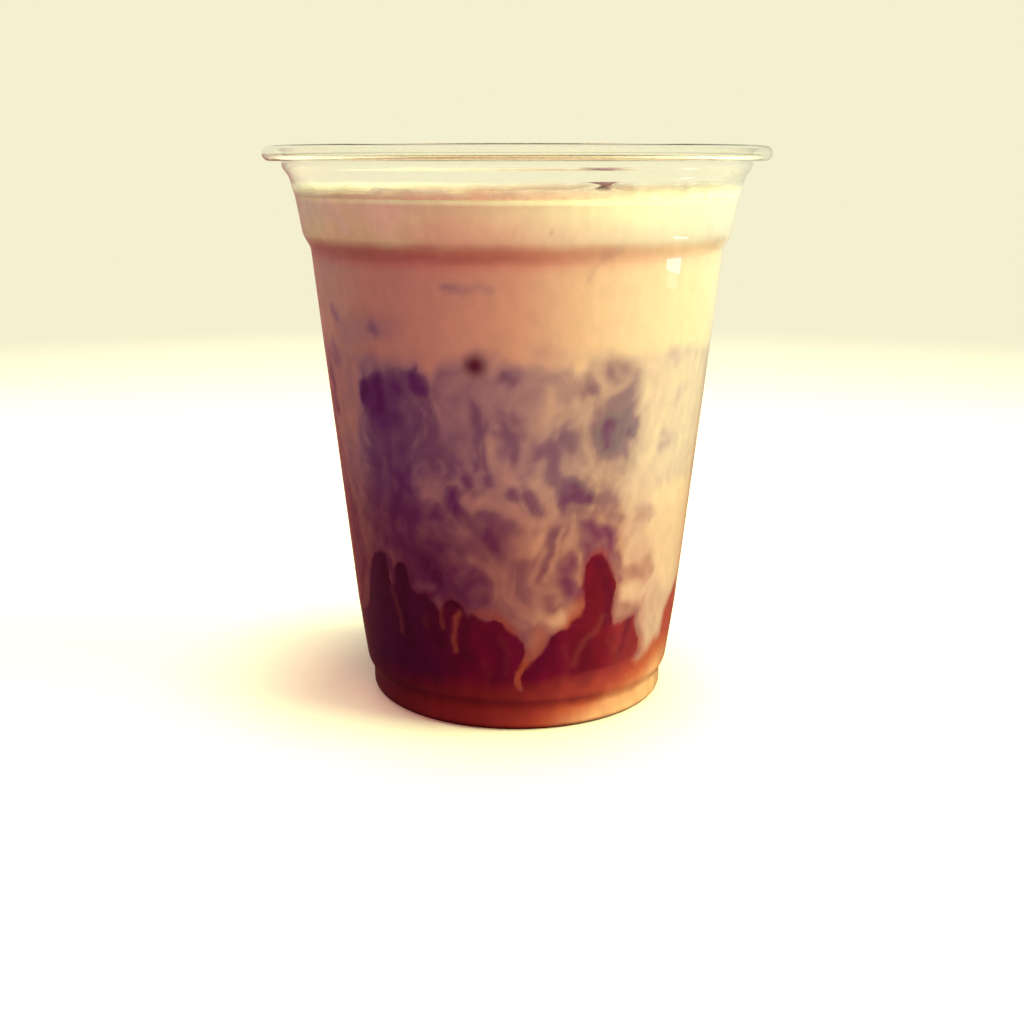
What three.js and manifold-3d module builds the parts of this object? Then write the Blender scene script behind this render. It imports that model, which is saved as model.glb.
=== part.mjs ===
// An iced cafe au lait in a clear plastic cup: coffee at the bottom, milk swirling down into it,
// milky coffee above, and ice floating at the top. Millimetres, +Z up. The origin is the centre of
// the ring that the cup stands on, and the front of the drink faces -Y.
import * as THREE from 'three';
import { RoundedBoxGeometry } from 'three/addons/geometries/RoundedBoxGeometry.js';
import { mergeVertices } from 'three/addons/utils/BufferGeometryUtils.js';
import Module from 'manifold-3d';

const wasm = await Module();
wasm.setup();

// The cup is one thin formed sheet. Radii are those of its outside, heights are above its foot.
const CUP_HEIGHT = 109.4;
const WALL = 0.5;
const PUNT = { radius: 24.4, z: 3.6 };
const PUNT_FOOT = { radius: 26.4, z: 0.95 };
const STANDING_RING = { inner: 27.3, outer: 28.6 };
const FOOT = { radius: 30.1, z: 4.6 };
const STEP = { radius: 31.3, z: 6.8 };
const KINK = { radius: 33.1, z: 19.7 };
const SHOULDER_LOW = { radius: 40.4, z: 90.5 };
const SHOULDER_TOP = { radius: 41.8, z: 93.0 };
const COLLAR_TOP = { radius: 43.0, z: 99.9 };
const LID_RECESS = { radius: 44.1, z: 103.9 };
const NECK = { radius: 45.4, z: 105.6 };
const RIM_RADIUS = 49.0;
const RIM_ROLL = 1.4;
const CUP_SEGMENTS = 56;

// The drink, up to its level, keeps this much clear of the wall, and its layers of each other.
const FIT = 0.3;
const DRINK_LEVEL = 99.7;
const COFFEE_LEVEL = 21.5;
const COFFEE_SLANT = 3.0;
const SWIRL_LEVEL = 74.0;
const SWIRL_WAVE = 1.4;

// At the wall the coffee reaches up in flames and the milk hangs down in tongues between them.
// Each is the direction that it lies in, in degrees from the front and to the right positive, the
// height of its tip, and how far round it reaches to each side.
const FLAMES_AND_TONGUES = [
  { angle: -50, tip: 33.4, spread: 5.2 },
  { angle: -39, tip: 33.0, spread: 3.6 },
  { angle: -31, tip: 27.2, spread: 3.6 },
  { angle: -21, tip: 26.8, spread: 3.0 },
  { angle: -12, tip: 24.4, spread: 7.0 },
  { angle: 2.5, tip: 9.2, spread: 4.2 },
  { angle: 14, tip: 21.8, spread: 5.0 },
  { angle: 26, tip: 35.8, spread: 6.4 },
  { angle: 40, tip: 21.4, spread: 3.4 },
  { angle: 54, tip: 10.6, spread: 6.5 },
  { angle: 70, tip: 24.0, spread: 6.0 },
];
// Round the back, which is like the front, flames and tongues follow each other in turn.
const BACK = { from: 86, to: 294, pairs: 9, flame: 29.5, tongue: 14.5, vary: 4.5, spread: 5.2 };
// The flames lie against the wall and fade this far in from it into the core's gentle wave.
const FLAME_DEPTH = 10;
const CORE_WAVE = 1.2;

// Ice: [length, width, height] of each cube, where its middle lies, its turn and its lean, and how
// far its highest corner stands out of the drink.
const ICE_ROUNDING = 3.4;
const ICE_MELT = 0.5;
const ICE = [
  { size: [19.5, 18.0, 19.0], angle: 146, out: 25.8, turn: 24, lean: [3, -4], tip: 1.9 },
  { size: [18.5, 19.0, 18.5], angle: -42, out: 27.0, turn: 48, lean: [-4, 2], tip: 1.4 },
  { size: [20.0, 18.0, 19.0], angle: -122, out: 25.8, turn: 12, lean: [2, 4], tip: 1.7 },
  { size: [18.0, 18.5, 18.0], angle: 52, out: 26.5, turn: 66, lean: [3, 3], tip: 1.2 },
  { size: [17.0, 18.0, 17.5], angle: 60, out: 1.5, turn: 38, lean: [-3, -2], tip: 1.5 },
];

const degrees = THREE.MathUtils.degToRad;
const { lerp, smoothstep } = THREE.MathUtils;

// The middle of the sheet's thickness as (radius, height) points, from the axis to the end of the
// roll under the rim.
function cupMidLine() {
  const half = WALL / 2;
  const at = ({ radius, z }) => new THREE.Vector2(radius - half, z);
  const footRounding = FOOT.radius - half - STANDING_RING.outer;
  const roll = RIM_ROLL - half;
  const rollHeight = CUP_HEIGHT - RIM_ROLL;
  const rollRadius = RIM_RADIUS - RIM_ROLL;
  const neckRadius = NECK.radius - half;
  return [
    new THREE.Vector2(0, PUNT.z),
    at(PUNT),
    at(PUNT_FOOT),
    new THREE.Vector2(STANDING_RING.inner, half),
    ...arc(STANDING_RING.outer, half + footRounding, footRounding, -90, 0, 3),
    at(FOOT),
    at(STEP),
    at(KINK),
    at(SHOULDER_LOW),
    at(SHOULDER_TOP),
    at(COLLAR_TOP),
    at(LID_RECESS),
    at(NECK),
    ...arc(neckRadius + roll, rollHeight, roll, 180, 90, 3),
    ...arc(rollRadius, rollHeight, roll, 90, -135, 6),
  ];
}

function arc(centreX, centreY, radius, from, to, steps) {
  const clockwise = to < from;
  const curve = new THREE.EllipseCurve(
    centreX, centreY, radius, radius, degrees(from), degrees(to), clockwise,
  );
  return curve.getPoints(steps);
}

// The line moved sideways by a distance: to the inside of the cup if positive.
function offset(line, distance) {
  return line.map((point, i) => {
    const arriving = point.clone().sub(line[Math.max(i - 1, 0)]).normalize();
    const leaving = line[Math.min(i + 1, line.length - 1)].clone().sub(point).normalize();
    const along = arriving.clone().add(leaving).normalize();
    const mitre = distance / Math.max(along.dot(arriving), along.dot(leaving));
    return new THREE.Vector2(point.x - along.y * mitre, point.y + along.x * mitre);
  });
}

function cupGeometry() {
  const middle = cupMidLine();
  const outside = offset(middle, -WALL / 2);
  const inside = offset(middle, WALL / 2);
  const profile = [...outside, ...inside.reverse()];
  return new THREE.LatheGeometry(profile, CUP_SEGMENTS).rotateX(Math.PI / 2);
}

// The skin of the drink runs just clear of the inside of the cup. Below the corner where the foot's
// wall meets the step it is a fixed line, and above it the radius follows from the height.
const drinkLine = offset(cupMidLine(), WALL / 2 + FIT);
const cornerIndex = drinkLine.findIndex(
  (point) => point.x > STANDING_RING.outer && point.y > FOOT.z - WALL,
);
const drinkFoot = drinkLine.slice(1, cornerIndex + 1);

function drinkRadius(z) {
  const above = drinkLine.findIndex((point, i) => i >= cornerIndex && point.y > z);
  const low = drinkLine[above - 1];
  const high = drinkLine[above];
  return lerp(low.x, high.x, (z - low.y) / (high.y - low.y));
}

const ALL_ROUND = [...FLAMES_AND_TONGUES, ...backFlames()];

// Height of the coffee at the wall, by direction: a slanting level, pulled up or down to each tip.
function coffeeAtWall(angle) {
  let height = COFFEE_LEVEL - COFFEE_SLANT * Math.sin(degrees(angle));
  for (const { angle: middle, tip, spread } of ALL_ROUND) {
    const away = THREE.MathUtils.euclideanModulo(angle - middle + 180, 360) - 180;
    height = lerp(height, tip, Math.exp(-((Math.abs(away) / spread) ** 3)));
  }
  return height;
}

function backFlames() {
  const list = [];
  const step = (BACK.to - BACK.from) / (2 * BACK.pairs);
  for (let i = 0; i < 2 * BACK.pairs; i += 1) {
    const tip = i % 2 === 0 ? BACK.flame : BACK.tongue;
    list.push({
      angle: BACK.from + step * (i + 0.5 + 0.3 * Math.sin(i * 2.3)),
      tip: tip + BACK.vary * Math.sin(i * 1.7),
      spread: BACK.spread + Math.sin(i * 3.1),
    });
  }
  return list;
}

// A point of the coffee's surface: its direction, how far in from the wall it is, and how far it
// is lifted. The layer above uses the same points, lifted clear.
function coffeeSurface(angle, inward, lift) {
  const core = COFFEE_LEVEL + CORE_WAVE * Math.sin(degrees(2 * angle + 40));
  const height = lerp(coffeeAtWall(angle), core, smoothstep(inward, 0, FLAME_DEPTH)) + lift;
  return around(angle, drinkRadius(height) - inward, height);
}

// The same for the upper edge of the swirls.
function swirlSurface(angle, inward, lift) {
  const wave = Math.sin(degrees(3 * angle + 70)) + 0.6 * Math.sin(degrees(7 * angle));
  const fade = 1 - smoothstep(inward, 0, FLAME_DEPTH);
  const height = SWIRL_LEVEL + SWIRL_WAVE * wave * fade + lift;
  return around(angle, drinkRadius(height) - inward, height);
}

function around(angle, radius, z) {
  return new THREE.Vector3(radius * Math.sin(degrees(angle)), -radius * Math.cos(degrees(angle)), z);
}

// A closed ring of points round the axis, or a single point on it.
function ring(count, pointAt) {
  return Array.from({ length: count }, (_, i) => pointAt((360 * i) / count));
}

function levelRing(count, radius, z) {
  return ring(count, (angle) => around(angle, radius, z));
}

const reach = (points) => Math.hypot(points[0].x, points[0].y);

// Joins rings in order into a closed body. Neighbours may differ in how many points they have, and
// of two points that come at once the wider ring's goes first, so that two surfaces over the same
// rings have the same triangles whichever way they are walked.
function loft(rings) {
  const index = [];
  const starts = rings.map((_, i) => rings.slice(0, i).reduce((sum, r) => sum + r.length, 0));
  for (let k = 0; k + 1 < rings.length; k += 1) {
    const a = (i) => starts[k] + (i % rings[k].length);
    const b = (j) => starts[k + 1] + (j % rings[k + 1].length);
    const countA = rings[k].length;
    const countB = rings[k + 1].length;
    const outerFirst = reach(rings[k]) >= reach(rings[k + 1]);
    let i = countA === 1 ? 1 : 0;
    let j = countB === 1 ? 1 : 0;
    while (i < countA || j < countB) {
      const nextA = i < countA ? (i + 1) / countA : Infinity;
      const nextB = j < countB ? (j + 1) / countB : Infinity;
      if (nextA < nextB || (nextA === nextB && outerFirst)) {
        index.push(a(i), a(i + 1), b(j));
        i += 1;
      } else {
        index.push(a(i), b(j + 1), b(j));
        j += 1;
      }
    }
  }
  return new THREE.BufferGeometry().setFromPoints(rings.flat()).setIndex(index);
}

// Rings of one surface from the wall inwards: how many points each has, and how far in it lies.
const COFFEE_RINGS = [[144, 0], [144, 1.2], [144, 3.2], [72, 6], [36, FLAME_DEPTH], [18, 20]];
const SWIRL_RINGS = [[72, 0], [72, 4], [36, FLAME_DEPTH], [18, 22]];
const FOOT_COUNT = 36;

function surfaceRings(plan, surface, lift) {
  const rings = plan.map(([count, inward]) => ring(count, (angle) => surface(angle, inward, lift)));
  const inner = rings[rings.length - 1];
  const middle = inner.reduce((sum, point) => sum + point.z, 0) / inner.length;
  return [...rings, levelRing(1, 0, middle)];
}

function coffeeGeometry() {
  const under = drinkFoot.map(({ x, y }) => levelRing(FOOT_COUNT, x, y));
  const step = levelRing(72, drinkRadius(STEP.z), STEP.z);
  const top = surfaceRings(COFFEE_RINGS, coffeeSurface, 0);
  const side = ring(144, (angle) => {
    const height = lerp(STEP.z, coffeeAtWall(angle), 0.5);
    return around(angle, drinkRadius(height), height);
  });
  return loft([levelRing(1, 0, drinkLine[0].y), ...under, step, side, ...top]);
}

function swirlsGeometry() {
  const bottom = surfaceRings(COFFEE_RINGS, coffeeSurface, FIT).reverse();
  const top = surfaceRings(SWIRL_RINGS, swirlSurface, 0);
  const side = levelRing(144, drinkRadius(SWIRL_LEVEL / 2), SWIRL_LEVEL / 2);
  return loft([...bottom, side, ...top]);
}

function milkyGeometry() {
  const bottom = surfaceRings(SWIRL_RINGS, swirlSurface, FIT).reverse();
  const sides = [SHOULDER_LOW.z, SHOULDER_TOP.z, DRINK_LEVEL].map(
    (z) => levelRing(72, drinkRadius(z), z),
  );
  const whole = solid(loft([...bottom, ...sides, levelRing(1, 0, DRINK_LEVEL)]));
  return geometryOf(ICE.reduce((rest, cube) => rest.subtract(solid(iceGeometry(cube, FIT))), whole));
}

// One melting cube in its place, grown by a margin to cut its pocket in the drink. The melt hollows
// its faces a little, by a wave that depends on the place of each point.
function iceGeometry({ size, angle, out, turn, lean, tip }, grow) {
  const [length, width, height] = size.map((side) => side + 2 * grow);
  const box = new RoundedBoxGeometry(length, width, height, 2, ICE_ROUNDING + grow);
  const points = box.attributes.position;
  const point = new THREE.Vector3();
  for (let i = 0; i < points.count; i += 1) {
    point.fromBufferAttribute(points, i);
    const wave = Math.sin(point.x * 0.31 + turn) * Math.sin(point.y * 0.37) * Math.cos(point.z * 0.29);
    point.multiplyScalar(1 - (ICE_MELT * (1 + wave)) / length);
    points.setXYZ(i, point.x, point.y, point.z);
  }
  box.rotateX(degrees(lean[0])).rotateY(degrees(lean[1])).rotateZ(degrees(turn));
  box.computeBoundingBox();
  const place = around(angle, out, DRINK_LEVEL + tip + grow - box.boundingBox.max.z);
  return box.translate(place.x, place.y, place.z);
}

function solid(geometry) {
  geometry.deleteAttribute('normal');
  geometry.deleteAttribute('uv');
  const merged = mergeVertices(geometry);
  return new wasm.Manifold(new wasm.Mesh({
    numProp: 3,
    vertProperties: new Float32Array(merged.attributes.position.array),
    triVerts: new Uint32Array(merged.index.array),
  }));
}

function geometryOf(body) {
  const { vertProperties, triVerts } = body.getMesh();
  const geometry = new THREE.BufferGeometry();
  geometry.setAttribute('position', new THREE.BufferAttribute(vertProperties, 3));
  return geometry.setIndex(new THREE.BufferAttribute(triVerts, 1));
}

function addMesh(group, name, geometry, look) {
  geometry.computeVertexNormals();
  const mesh = new THREE.Mesh(geometry, new THREE.MeshStandardMaterial({ metalness: 0, ...look }));
  mesh.name = name;
  group.add(mesh);
}

const CLEAR_PLASTIC = { color: 0xf4f1e4, roughness: 0.08, transparent: true, opacity: 0.3 };
const COFFEE = { color: 0x6e2418, roughness: 0.25 };
const SWIRLS = { color: 0xb98a78, roughness: 0.3 };
const MILKY_COFFEE = { color: 0xdfa878, roughness: 0.3 };
const CLEAR_ICE = { color: 0xeee2cf, roughness: 0.12, transparent: true, opacity: 0.6 };

const cafeAuLait = new THREE.Group();
addMesh(cafeAuLait, 'cup', cupGeometry(), CLEAR_PLASTIC);
addMesh(cafeAuLait, 'coffee', coffeeGeometry(), COFFEE);
addMesh(cafeAuLait, 'milk_swirls', swirlsGeometry(), SWIRLS);
addMesh(cafeAuLait, 'milky_coffee', milkyGeometry(), MILKY_COFFEE);
for (const [i, cube] of ICE.entries()) {
  addMesh(cafeAuLait, `ice_${i + 1}`, iceGeometry(cube, 0), CLEAR_ICE);
}

export default cafeAuLait;
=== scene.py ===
"""Looks of an iced cafe au lait in a clear plastic cup.

The cup, the drink and the ice are modelled in millimetres from the axis of the cup, and written in
metres. An angle round the cup is in degrees from the front, which faces -Y, and to the right
positive. The marbling is described as seen in the photograph, by strokes through pixels of its
1024 x 1024 frame, which the camera's own geometry carries to the wall of the cup.
"""

import math
import random

import bpy
import numpy as np
from mathutils import Euler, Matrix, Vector, noise


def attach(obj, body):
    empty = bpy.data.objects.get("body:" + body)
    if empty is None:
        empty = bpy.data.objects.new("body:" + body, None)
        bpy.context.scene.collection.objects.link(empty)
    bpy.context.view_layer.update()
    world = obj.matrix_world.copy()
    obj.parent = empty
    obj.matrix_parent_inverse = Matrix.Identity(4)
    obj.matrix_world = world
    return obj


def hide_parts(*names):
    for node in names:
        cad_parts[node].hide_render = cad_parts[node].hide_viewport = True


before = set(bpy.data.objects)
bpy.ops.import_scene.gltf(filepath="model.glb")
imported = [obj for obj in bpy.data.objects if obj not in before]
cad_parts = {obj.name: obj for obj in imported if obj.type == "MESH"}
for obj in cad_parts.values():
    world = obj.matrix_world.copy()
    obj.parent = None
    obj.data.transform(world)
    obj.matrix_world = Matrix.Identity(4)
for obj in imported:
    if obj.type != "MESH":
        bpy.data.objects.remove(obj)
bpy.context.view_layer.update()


def srgb(red, green, blue):
    """A colour as light, from its values of 0 to 255 on a screen."""
    values = [c / 255 for c in (red, green, blue)]
    return tuple(c / 12.92 if c <= 0.04045 else ((c + 0.055) / 1.055) ** 2.4 for c in values)


MM = 0.001
IMAGE_SIZE = 1024

# Camera, fitted to the rings of the cup in the photograph.
CAMERA_PLACE = (-1.0, -277.4, 106.4)
CAMERA_DOWN = 14.23
FOCAL_PIXELS = 1380.0
SENSOR_WIDTH = 36.0

# The wall is looked for along each line of sight between these distances.
SIGHT_SPAN = (200, 300)
SIGHT_STEPS = 2000

# The cup, with radii of its outside, as in the solids.
WALL = 0.5
CUP_HEIGHT = 109.4
PUNT = (24.4, 3.6)
PUNT_FOOT = (26.4, 0.95)
STANDING_INNER = 27.3
STANDING_OUTER = 28.6
FOOT = (30.1, 4.6)
STEP = (31.3, 6.8)
KINK = (33.1, 19.7)
SHOULDER_LOW = (40.4, 90.5)
SHOULDER_TOP = (41.8, 93.0)
COLLAR_TOP = (43.0, 99.9)
LID_RECESS = (44.1, 103.9)
NECK = (45.4, 105.6)
RIM_RADIUS = 49.0
RIM_ROLL = 1.4
CUP_COLUMNS = 192

# The outline's corners are rounded over FILLET, and its long stretches have a point more at this
# distance from each end.
FILLET = 0.7
PROP = 0.6

# The drink reaches this far into the wall, so that no air shows between them.
BITE = 0.15
DRINK_LEVEL = 99.7
SWIRL_LEVEL = 72.8
DRINK_COLUMNS = 420
MARBLED_STEP = 0.5
MILKY_STEP = 0.85
TOP_STEP = 1.9
MENISCUS_RISE = 0.5
MENISCUS_WIDTH = 1.6

# The wall is laid flat from its seam, left of the back, at the radius of its middle.
SEAM = -100
FLAT_RADIUS = 36.0

# Random marks lie in these spans of angle. Past the seam, and this close before it, they go to its
# other side.
BACK_SPAN = (96, 292)
EDGE_SPAN = (78, 104)
SEAM_MARGIN = 8

# A soft stroke covers by half at its width, by less and less beyond, and not past its reach.
STROKE_FADE = 0.69
STROKE_POWER = 2.6
STROKE_REACH = 2.2

# Ice, as in the solids: size, direction and distance of the middle, turn, lean, height of the tip.
ICE_ROUNDING = 3.4
ICE_MELT = 0.5
POCKET_BITE = 0.1
CLEAR_ICE = srgb(255, 236, 226)
CLOUDY_ICE = srgb(255, 222, 196)
ICE = (
    ((19.5, 18.0, 19.0), 146, 25.8, 24, (3, -4), 1.9),
    ((18.5, 19.0, 18.5), -42, 27.0, 48, (-4, 2), 1.4),
    ((20.0, 18.0, 19.0), -122, 25.8, 12, (2, 4), 1.7),
    ((18.0, 18.5, 18.0), 52, 26.5, 66, (3, 3), 1.2),
    ((17.0, 18.0, 17.5), 60, 1.5, 38, (-3, -2), 1.5),
)

# Froth left on the wall above the drink: from and to in height, how far it reaches into the wall,
# how thick it is, the heights over which it thins out, and its colours.
FROTH_FOOT = 99.3
FROTH_TOP = 104.2
FROTH_REACH = 0.05
FROTH_THICKNESS = 0.2
FROTH_THINS = (99.6, 103.0)
WET_FROTH = (0.95, 0.94, 0.68)
DRY_FROTH = (0.97, 0.99, 0.80)
FROTH_INSIDE = (0.42, 0.36, 0.29)

# Bubbles on the drink: least and greatest radius, how many, in how many clumps, how high their
# middles stand in shares of the radius, and their colours.
BUBBLE_RADII = (0.2, 0.6)
WALL_BUBBLES = 120
WALL_CLUMPS = 16
ICE_BUBBLES = 190
BUBBLE_RISE = 0.35
LIGHT_BUBBLE = (0.66, 0.49, 0.33)
DARK_BUBBLE = (0.50, 0.35, 0.23)

# The dark fleck on the ice: its middle, depth, colours and outline, across and up from the middle.
FLECK_PLACE = (18.6, 21.0, 101.7)
FLECK_DEPTH = 1.3
LIGHT_FLECK = srgb(128, 98, 112)
DARK_FLECK = srgb(100, 66, 82)
FLECK_OUTLINE = (
    (-5.0, 1.05), (-2.0, 0.70), (-1.0, 0.30), (-0.8, -0.10), (-2.4, -0.80), (-0.7, -0.72),
    (0.5, -0.85), (1.7, -1.20), (1.2, -0.30), (1.4, 0.30), (2.4, 0.75), (3.8, 1.15), (0.2, 1.20),
)

# Floor and room.
FLOOR_RADIUS = 0.7
FLOOR_TONE = srgb(245, 240, 215)
FLOOR_BOUNCE = (0.138, 0.079, 0.056)
FLOOR_MIRRORED = (0.14, 0.028, 0.026)
WALL_TONE = srgb(245, 240, 207)
WINDOW_SIDE = (0.85, 0.45, 0.3)
ROOM_DARK = (0.24, 0.22, 0.33)
ROOM_BRIGHT = (0.13, 0.17, 0.25)
MIRRORED_LEFT = (0.42, 0.17, 0.14)

# Lamps, in metres: name, place, aim, size, power, colour.
LAMPS = (
    ("window", (0.80, -0.16, 0.36), (0, 0, 0.06), (0.6, 0.6), 20.5, (0.76, 1.0, 0.56)),
    ("front", (0.25, -0.75, 0.30), (0, 0, 0.06), (0.5, 0.5), 5.5, (1.0, 0.20, 0.13)),
    ("ceiling", (0.05, -0.02, 0.85), (0, 0, 0.09), (0.4, 0.3), 9.0, (0.88, 1.0, 0.74)),
    ("rear", (-0.30, 0.80, 0.40), (0, 0, 0.06), (0.6, 0.6), 5.0, (1.0, 0.78, 0.60)),
    ("side", (-0.41, 0.29, 0.12), (0, 0, 0.08), (0.2, 0.2), 0.9, (1.0, 0.72, 0.55)),
)

# Small bright panes on the right that the wall mirrors, in metres: how far right they stand and
# aim, their colour, and for each from and to in height, from and to in depth, and power.
GLINT_DISTANCE = 0.066
GLINT_AIM = 0.028
GLINT_TONE = (0.75, 0.8, 1.0)
GLINTS = (
    (0.0794, 0.0822, -0.0310, -0.0205, 0.0006),
    (0.0760, 0.0794, -0.0295, -0.0220, 0.00013),
)

# The coffee's edge at the front, as pixels from left to right.
COFFEE_EDGE = (
    (357, 613), (362, 608), (369, 606), (371, 598), (371, 576), (373, 560), (377, 552), (382, 550),
    (387, 554), (389, 566), (391, 580), (394, 587), (396, 580), (395, 568), (398, 562), (403, 561),
    (407, 566), (409, 578), (412, 589), (418, 593), (425, 593), (431, 597), (435, 603), (438, 608),
    (441, 609), (444, 605), (447, 600), (452, 599), (458, 602), (463, 607), (465, 613), (468, 616),
    (473, 614), (480, 619), (487, 622), (494, 619), (502, 623), (508, 631), (517, 636), (523, 644),
    (525, 653), (521, 664), (515, 674), (514, 683), (519, 691), (523, 692), (521, 684), (521, 677),
    (525, 669), (532, 662), (540, 655), (546, 646), (550, 637), (557, 631), (567, 629), (572, 620),
    (580, 615), (585, 604), (583, 584), (585, 566), (592, 556), (601, 552), (606, 560), (611, 570),
    (616, 582), (613, 596), (611, 612), (613, 625), (620, 622), (627, 618), (634, 614), (633, 624),
    (637, 638), (636, 650), (630, 660), (633, 667), (641, 664), (648, 656), (654, 645), (659, 632),
    (661, 620), (663, 610), (668, 597), (674, 578),
)

# Thin lines of milk that run down into the coffee: width in millimetres, strength, pixels.
MILK_LINES = (
    (0.50, 0.20, ((393, 588), (397, 602), (402, 618), (403, 632))),
    (0.40, 0.35, ((441, 606), (442, 616), (444, 628))),
    (0.48, 0.6, ((459, 613), (456, 618), (455, 630), (454, 640), (456, 650))),
    (0.7, 0.12, ((603, 616), (596, 630), (584, 640), (577, 652), (574, 664))),
    (0.70, 0.08, ((424, 618), (427, 626))),
    (0.60, 0.05, ((483, 662), (489, 672), (487, 690))),
    (0.60, 0.07, ((500, 638), (508, 652), (506, 672))),
    (0.70, 0.05, ((563, 646), (568, 664), (563, 684))),
    (0.60, 0.05, ((607, 640), (618, 652), (616, 668))),
)

# Rusty places where a little coffee shows through the milk, in the same terms.
RUST_STROKES = (
    (1.5, 0.5, ((571, 626), (575, 614), (581, 602))),
    (0.8, 0.15, ((590, 560), (597, 549), (606, 552))),
    (1.0, 0.5, ((478, 612), (494, 614), (506, 622), (514, 634))),
    (1.6, 0.45, ((541, 638), (532, 652), (524, 664))),
    (1.1, 0.75, ((522, 668), (517, 676), (518, 686))),
    (1.5, 0.9, ((628, 668), (638, 664), (646, 654), (652, 644))),
    (1.3, 0.35, ((638, 640), (642, 648))),
    (0.7, 0.5, ((368, 556), (366, 572), (364, 590))),
    (0.8, 0.4, ((392, 588), (396, 600))),
)

# Darker places in the coffee, in the same terms.
DARK_LINES = (
    (1.10, 0.80, ((383, 556), (385, 580), (386, 606))),
    (1.00, 0.80, ((401, 566), (405, 584))),
    (1.30, 0.75, ((404, 600), (409, 626), (412, 650))),
    (1.00, 0.70, ((424, 600), (432, 608))),
    (1.40, 0.80, ((429, 626), (437, 634), (443, 642))),
    (0.90, 0.85, ((450, 603), (457, 604), (461, 611))),
    (1.10, 0.60, ((468, 620), (465, 640), (468, 656))),
    (1.50, 0.45, ((492, 636), (500, 652), (500, 676))),
    (1.00, 0.60, ((597, 562), (603, 566))),
    (1.10, 0.55, ((605, 580), (610, 600), (606, 620))),
    (0.90, 0.50, ((553, 640), (545, 655), (532, 672))),
    (0.80, 0.55, ((628, 618), (624, 634), (619, 652))),
    (1.40, 0.35, ((588, 640), (586, 662), (584, 680))),
    (1.10, 0.40, ((369, 622), (373, 640), (378, 660))),
)

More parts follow.
